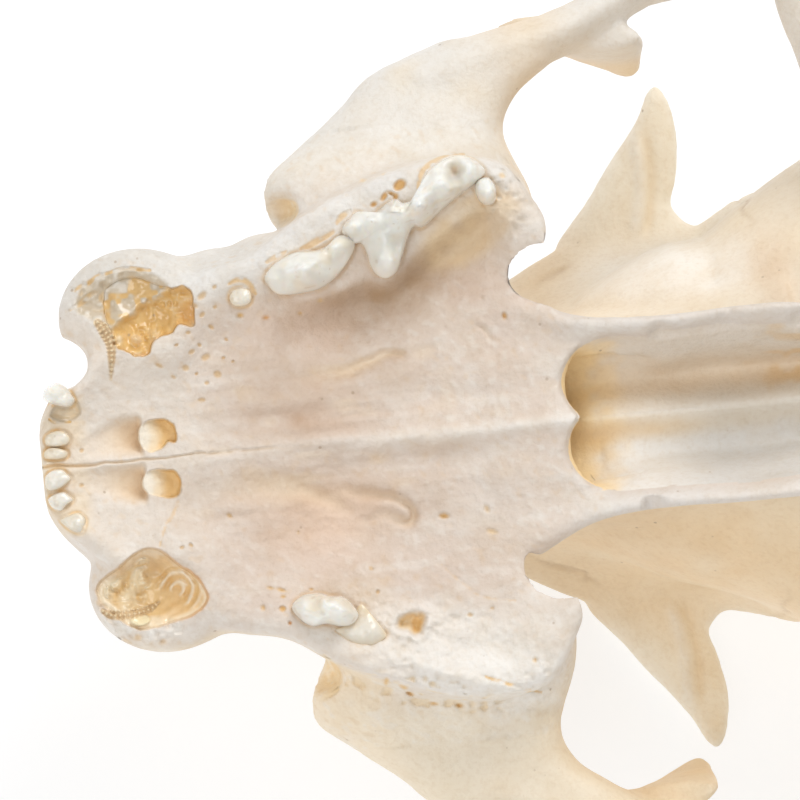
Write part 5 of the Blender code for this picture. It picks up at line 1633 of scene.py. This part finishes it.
def new_paint(name):
    """An empty material: itself, its nodes and its surface."""
    paint = bpy.data.materials.new(name)
    paint.use_nodes = True
    return paint, paint.node_tree, paint.node_tree.nodes["Principled BSDF"]


MOTTLE_TINT = (0.93, 0.885, 0.82, 1.0)
FINE_TINT = (0.90, 0.855, 0.80, 1.0)
SPECK_TINT = (0.42, 0.30, 0.20, 1.0)


def grain_group():
    """Shader group: fine mottling, sparse dark specks and a pitted height, on object coordinates."""
    tree = bpy.data.node_groups.new("bone_grain", "ShaderNodeTree")
    tree.interface.new_socket("Colour", in_out="INPUT", socket_type="NodeSocketColor")
    tree.interface.new_socket("Wet", in_out="INPUT", socket_type="NodeSocketFloat")
    tree.interface.new_socket("Colour", in_out="OUTPUT", socket_type="NodeSocketColor")
    tree.interface.new_socket("Roughness", in_out="OUTPUT", socket_type="NodeSocketFloat")
    tree.interface.new_socket("Height", in_out="OUTPUT", socket_type="NodeSocketFloat")
    given = tree.nodes.new("NodeGroupInput").outputs
    place = tree.nodes.new("ShaderNodeTexCoord").outputs["Object"]
    fine, mottle = noise(tree, place, 2600.0, 4.0, 0.62), noise(tree, place, 420.0, 3.0, 0.55)
    cells = added(tree, "ShaderNodeTexVoronoi", {"Vector": place, "Scale": 620.0}).outputs
    speck = between(tree, cells["Distance"], 0.09, 0.045, 0.0, 0.6)
    speck = product(tree, speck, between(tree, cells["Color"], 0.62, 0.66, 0.0, 1.0))
    colour = blended(tree, "MULTIPLY", between(tree, mottle, 0.42, 0.68, 0.0, 0.55), given["Colour"], MOTTLE_TINT)
    colour = blended(tree, "MULTIPLY", between(tree, fine, 0.48, 0.74, 0.0, 0.6), colour, FINE_TINT)
    colour = blended(tree, "MIX", speck, colour, SPECK_TINT)
    height = product(tree, mottle, 0.8, fine)
    height = product(tree, between(tree, cells["Distance"], 0.05, 0.16, 0.0, 1.0), 0.35, height)
    height = product(tree, height, between(tree, given["Wet"], 0.0, 1.0, 1.0, 0.1))
    roughness = between(tree, given["Wet"], 0.0, 1.0, 0.52, 0.12)
    out = tree.nodes.new("NodeGroupOutput")
    wired(tree, out, {"Colour": colour, "Roughness": roughness, "Height": height})
    return tree


def bone_paint(name, grain):
    """Bone: the tint of each place, mottled and specked, dull but wet-looking in the sockets."""
    paint, tree, surface = new_paint(name)
    tint = added(tree, "ShaderNodeAttribute", {}, attribute_name="tint").outputs["Color"]
    wetness = added(tree, "ShaderNodeAttribute", {}, attribute_name="wet").outputs["Fac"]
    grained = added(tree, "ShaderNodeGroup", {}, node_tree=grain)
    wired(tree, grained, {"Colour": tint, "Wet": wetness})
    sockets = {"Strength": 0.5, "Distance": 0.00018, "Height": grained.outputs["Height"]}
    bump = added(tree, "ShaderNodeBump", sockets).outputs["Normal"]
    sockets = {"Base Color": grained.outputs["Colour"], "Roughness": grained.outputs["Roughness"], "Normal": bump}
    wired(tree, surface, sockets | {"Coat Weight": wetness, "Coat Roughness": 0.06, "IOR": 1.45})
    return paint


def bone_piece(name, chosen_points):
    """A piece from the parted points: its faces renumbered, its tints and directions kept."""
    chosen_faces = chosen_points[corners[starts]]
    kept = np.repeat(chosen_faces, sizes)
    used, ring = np.unique(corners[kept], return_inverse=True)
    lengths = sizes[chosen_faces]
    mesh = bpy.data.meshes.new(name)
    mesh.vertices.add(len(used))
    mesh.loops.add(len(ring))
    mesh.polygons.add(len(lengths))
    mesh.vertices.foreach_set("co", np.clip(laid(parted[used]), *np.array(solid_box)).ravel())
    mesh.loops.foreach_set("vertex_index", ring.astype(np.int32))
    mesh.polygons.foreach_set("loop_start", np.concatenate([[0], np.cumsum(lengths)[:-1]]).astype(np.int32))
    mesh.update(calc_edges=True)
    mesh.validate()
    tint = mesh.attributes.new("tint", "FLOAT_COLOR", "POINT")
    tint.data.foreach_set("color", np.column_stack([tints[source[used]], np.ones(len(used))]).ravel())
    mesh.attributes.new("wet", "FLOAT", "POINT").data.foreach_set("value", wet[source[used]])
    mesh.shade_smooth()
    mesh.normals_split_custom_set_from_vertices((skin_outward[source[used]] @ LYING.T).tolist())
    piece = bpy.data.objects.new(name, mesh)
    bpy.context.scene.collection.objects.link(piece)
    return piece


grain = grain_group()
bone_of = np.full(len(parted), -1)
middles = np.array([middle for _, middle in BONES.values()])
for one in np.unique(label):
    body_points = label == one
    if body_points.sum() > SMALLEST_BONE:
        distances = np.linalg.norm(parted[body_points].mean(axis=0) - middles, axis=1)
        bone_of[body_points] = int(np.argmin(distances))
for number, (bone, (node, _)) in enumerate(BONES.items()):
    piece = bone_piece(bone + "_bone", bone_of == number)
    piece.data.materials.append(bone_paint(bone + "_bone", grain))
    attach(piece, "root")
    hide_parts(node)


# The teeth.
# Worn white enamel crowns over sunken roots: the last front teeth, and cheek teeth that
# lean inward, each set in its own socket of the jaw.
ENAMEL = (0.865, 0.875, 0.845)
ENAMEL_WARM = (0.84, 0.78, 0.66)
NECK_TAN = (0.80, 0.755, 0.68)
ROOT_STAIN = (0.78, 0.58, 0.33)
CRACK_BROWN = (0.50, 0.36, 0.22)
ENAMEL_SPECK = (0.42, 0.28, 0.15, 1.0)
ROOT_LENGTH = 2.2
CROWNS = {  # points as place, height, spread (a height below nought is a hollow); edge height; rim level; warmth
    "left_third": (
        (
            (18.45, -11.3, 3.0, 1.05), (17.3, -11.2, 0.7, 0.6), (16.3, -11.0, 0.3, 0.4), (19.6, -12.0, 0.8, 0.6),
            (20.7, -12.7, 1.1, 0.6), (21.5, -13.1, 0.7, 0.5), (19.9, -10.9, 0.3, 0.6),
        ),
        0.7, 0.2, 0.2,
    ),
    "left_fourth": (
        (
            (26.5, -14.9, 2.9, 1.0), (25.0, -14.4, 1.5, 0.9), (28.1, -16.4, 2.4, 0.75), (30.1, -17.3, 2.0, 0.6),
            (30.0, -16.5, 1.7, 0.55), (28.6, -15.7, 1.6, 0.6), (27.6, -15.6, 1.3, 0.8), (29.1, -17.0, -1.3, 0.6),
            (21.9, -13.9, 1.3, 0.5), (23.25, -14.05, 1.5, 0.6), (24.7, -14.6, 0.9, 0.5), (24.0, -11.4, 1.9, 0.75),
            (24.2, -12.9, 0.4, 0.5),
        ),
        1.0, 0.2, 0.1,
    ),
    "right_third": (
        ((18.05, 10.7, 2.2, 0.95), (16.35, 11.1, 0.9, 0.6), (19.0, 11.5, 1.3, 0.65), (17.2, 11.6, 0.5, 0.5)),
        0.9, 0.2, 0.2,
    ),
    "right_third_rear": (((20.6, 12.8, 0.35, 0.7), (19.4, 13.0, 0.2, 0.5)), 0.2, 0.5, 0.85),
    "left_second": (((14.3, -10.0, 0.2, 0.4),), 0.3, 0.4, 0.55),
    "left_molar": (((31.1, -15.4, 0.6, 0.5),), 1.4, 0.3, 0.05),
    "left_corner_front": (((0.9, -4.9, 0.5, 0.7),), 1.35, 0.3, 0.0),
    "left_second_front": (((1.4, -1.9, 0.1, 0.4),), 0.25, 0.4, 0.8),
    "left_first_front": (((1.1, -0.8, 0.1, 0.4),), 0.2, 0.4, 0.9),
    "right_first_front": (((0.7, 0.9, 0.15, 0.6),), 0.4, 0.4, 0.25),
    "right_second_front": (((0.6, 2.4, 0.15, 0.6),), 0.4, 0.4, 0.25),
    "right_corner_front": (((1.9, 4.0, 0.12, 0.3),), 0.25, 0.4, 0.5),
}


def crown(name, outline, points_of_crown, edge, rim, warmth):
    """Crown over a closed outline, on a polar grid from its middle to its rim, then down the root.

    Height is the edge height plus a bell for each point, roughened a little, and falls off at
    the rim as the root of one minus the fourth power of the share of the way out.
    """
    ring = smooth_ring(outline, 8)
    middle = ring.mean(axis=0)
    share = np.sin(np.linspace(0.03, np.pi / 2, 40))[:, None, None]
    spots = middle + share * (ring - middle)
    height = np.full(spots.shape[:2], edge)
    for place_a, place_l, tall, spread in points_of_crown:
        away = np.hypot(spots[..., 0] - place_a, spots[..., 1] - place_l)
        height += tall * bell(away, 0, spread)
    flat_spots = np.column_stack([spots.reshape(-1, 2), np.zeros(height.size)])
    lumpy = 0.6 * cloud(flat_spots, 0.95, 71) + 0.4 * cloud(flat_spots, 0.42, 72)
    height *= 1 + 0.2 * lumpy.reshape(height.shape)
    height += 0.025 * cloud(flat_spots, 0.22, 74).reshape(height.shape)
    height *= (1 - np.minimum(share[..., 0], 0.9999) ** 4) ** 0.45
    down = np.linspace(0.06, 1.0, 10)[:, None, None]
    foot = middle + (1 - 0.35 * down**1.5) * (ring - middle)
    foot = np.concatenate([foot, np.broadcast_to(rim + ROOT_LENGTH * down, foot.shape[:2] + (1,))], axis=2)
    rings = np.concatenate([np.dstack([spots, rim - height]), foot])
    piece = skin(name, rings, bpy.context.scene.collection)
    spots = rings.reshape(-1, 3)
    colour = coated(
        np.tile(ENAMEL, (len(spots), 1)),
        (ENAMEL_WARM, warmth + 0.7 * ramp(cloud(spots, 1.0, 73), 0.1, 0.7)),
        (NECK_TAN, 0.65 * ramp(spots[:, 2], rim - 1.5, rim - 0.5)),
        (ROOT_STAIN, 0.8 * ramp(spots[:, 2], rim - 0.42, rim + 0.1)),
        (CRACK_BROWN, 0.25 * ramp(cloud(spots, 0.5, 75), 0.5, 0.8)),
    )
    tint = piece.data.attributes.new("tint", "FLOAT_COLOR", "POINT")
    tint.data.foreach_set("color", np.column_stack([colour, np.ones(len(spots))]).ravel())
    piece.data.vertices.foreach_set("co", laid(spots).ravel())
    piece.data.shade_smooth()
    piece.data.update()
    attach(piece, "root")
    return piece


def enamel_paint():
    """Enamel: its tint broken by faint brown specks, glossy, light passing a little in."""
    paint, tree, surface = new_paint("enamel")
    tint = added(tree, "ShaderNodeAttribute", {}, attribute_name="tint").outputs["Color"]
    place = tree.nodes.new("ShaderNodeTexCoord").outputs["Object"]
    cells = added(tree, "ShaderNodeTexVoronoi", {"Vector": place, "Scale": 900.0}).outputs
    speck = between(tree, cells["Distance"], 0.10, 0.05, 0.0, 0.25)
    height = noise(tree, place, 900.0, 3.0, 0.5)
    bump = added(tree, "ShaderNodeBump", {"Strength": 0.2, "Distance": 0.0001, "Height": height})
    sockets = {
        "Base Color": blended(tree, "MIX", speck, tint, ENAMEL_SPECK),
        "Normal": bump.outputs["Normal"],
        "Roughness": 0.2,
        "Coat Weight": 0.4,
        "Coat Roughness": 0.08,
        "Subsurface Weight": 0.4,
        "Subsurface Radius": (1.0, 0.85, 0.65),
        "Subsurface Scale": 0.001,
    }
    wired(tree, surface, sockets)
    return paint


enamel = enamel_paint()
for word, crown_values in CROWNS.items():
    crown(word + "_tooth", TOOTH_OUTLINES[word], *crown_values).data.materials.append(enamel)
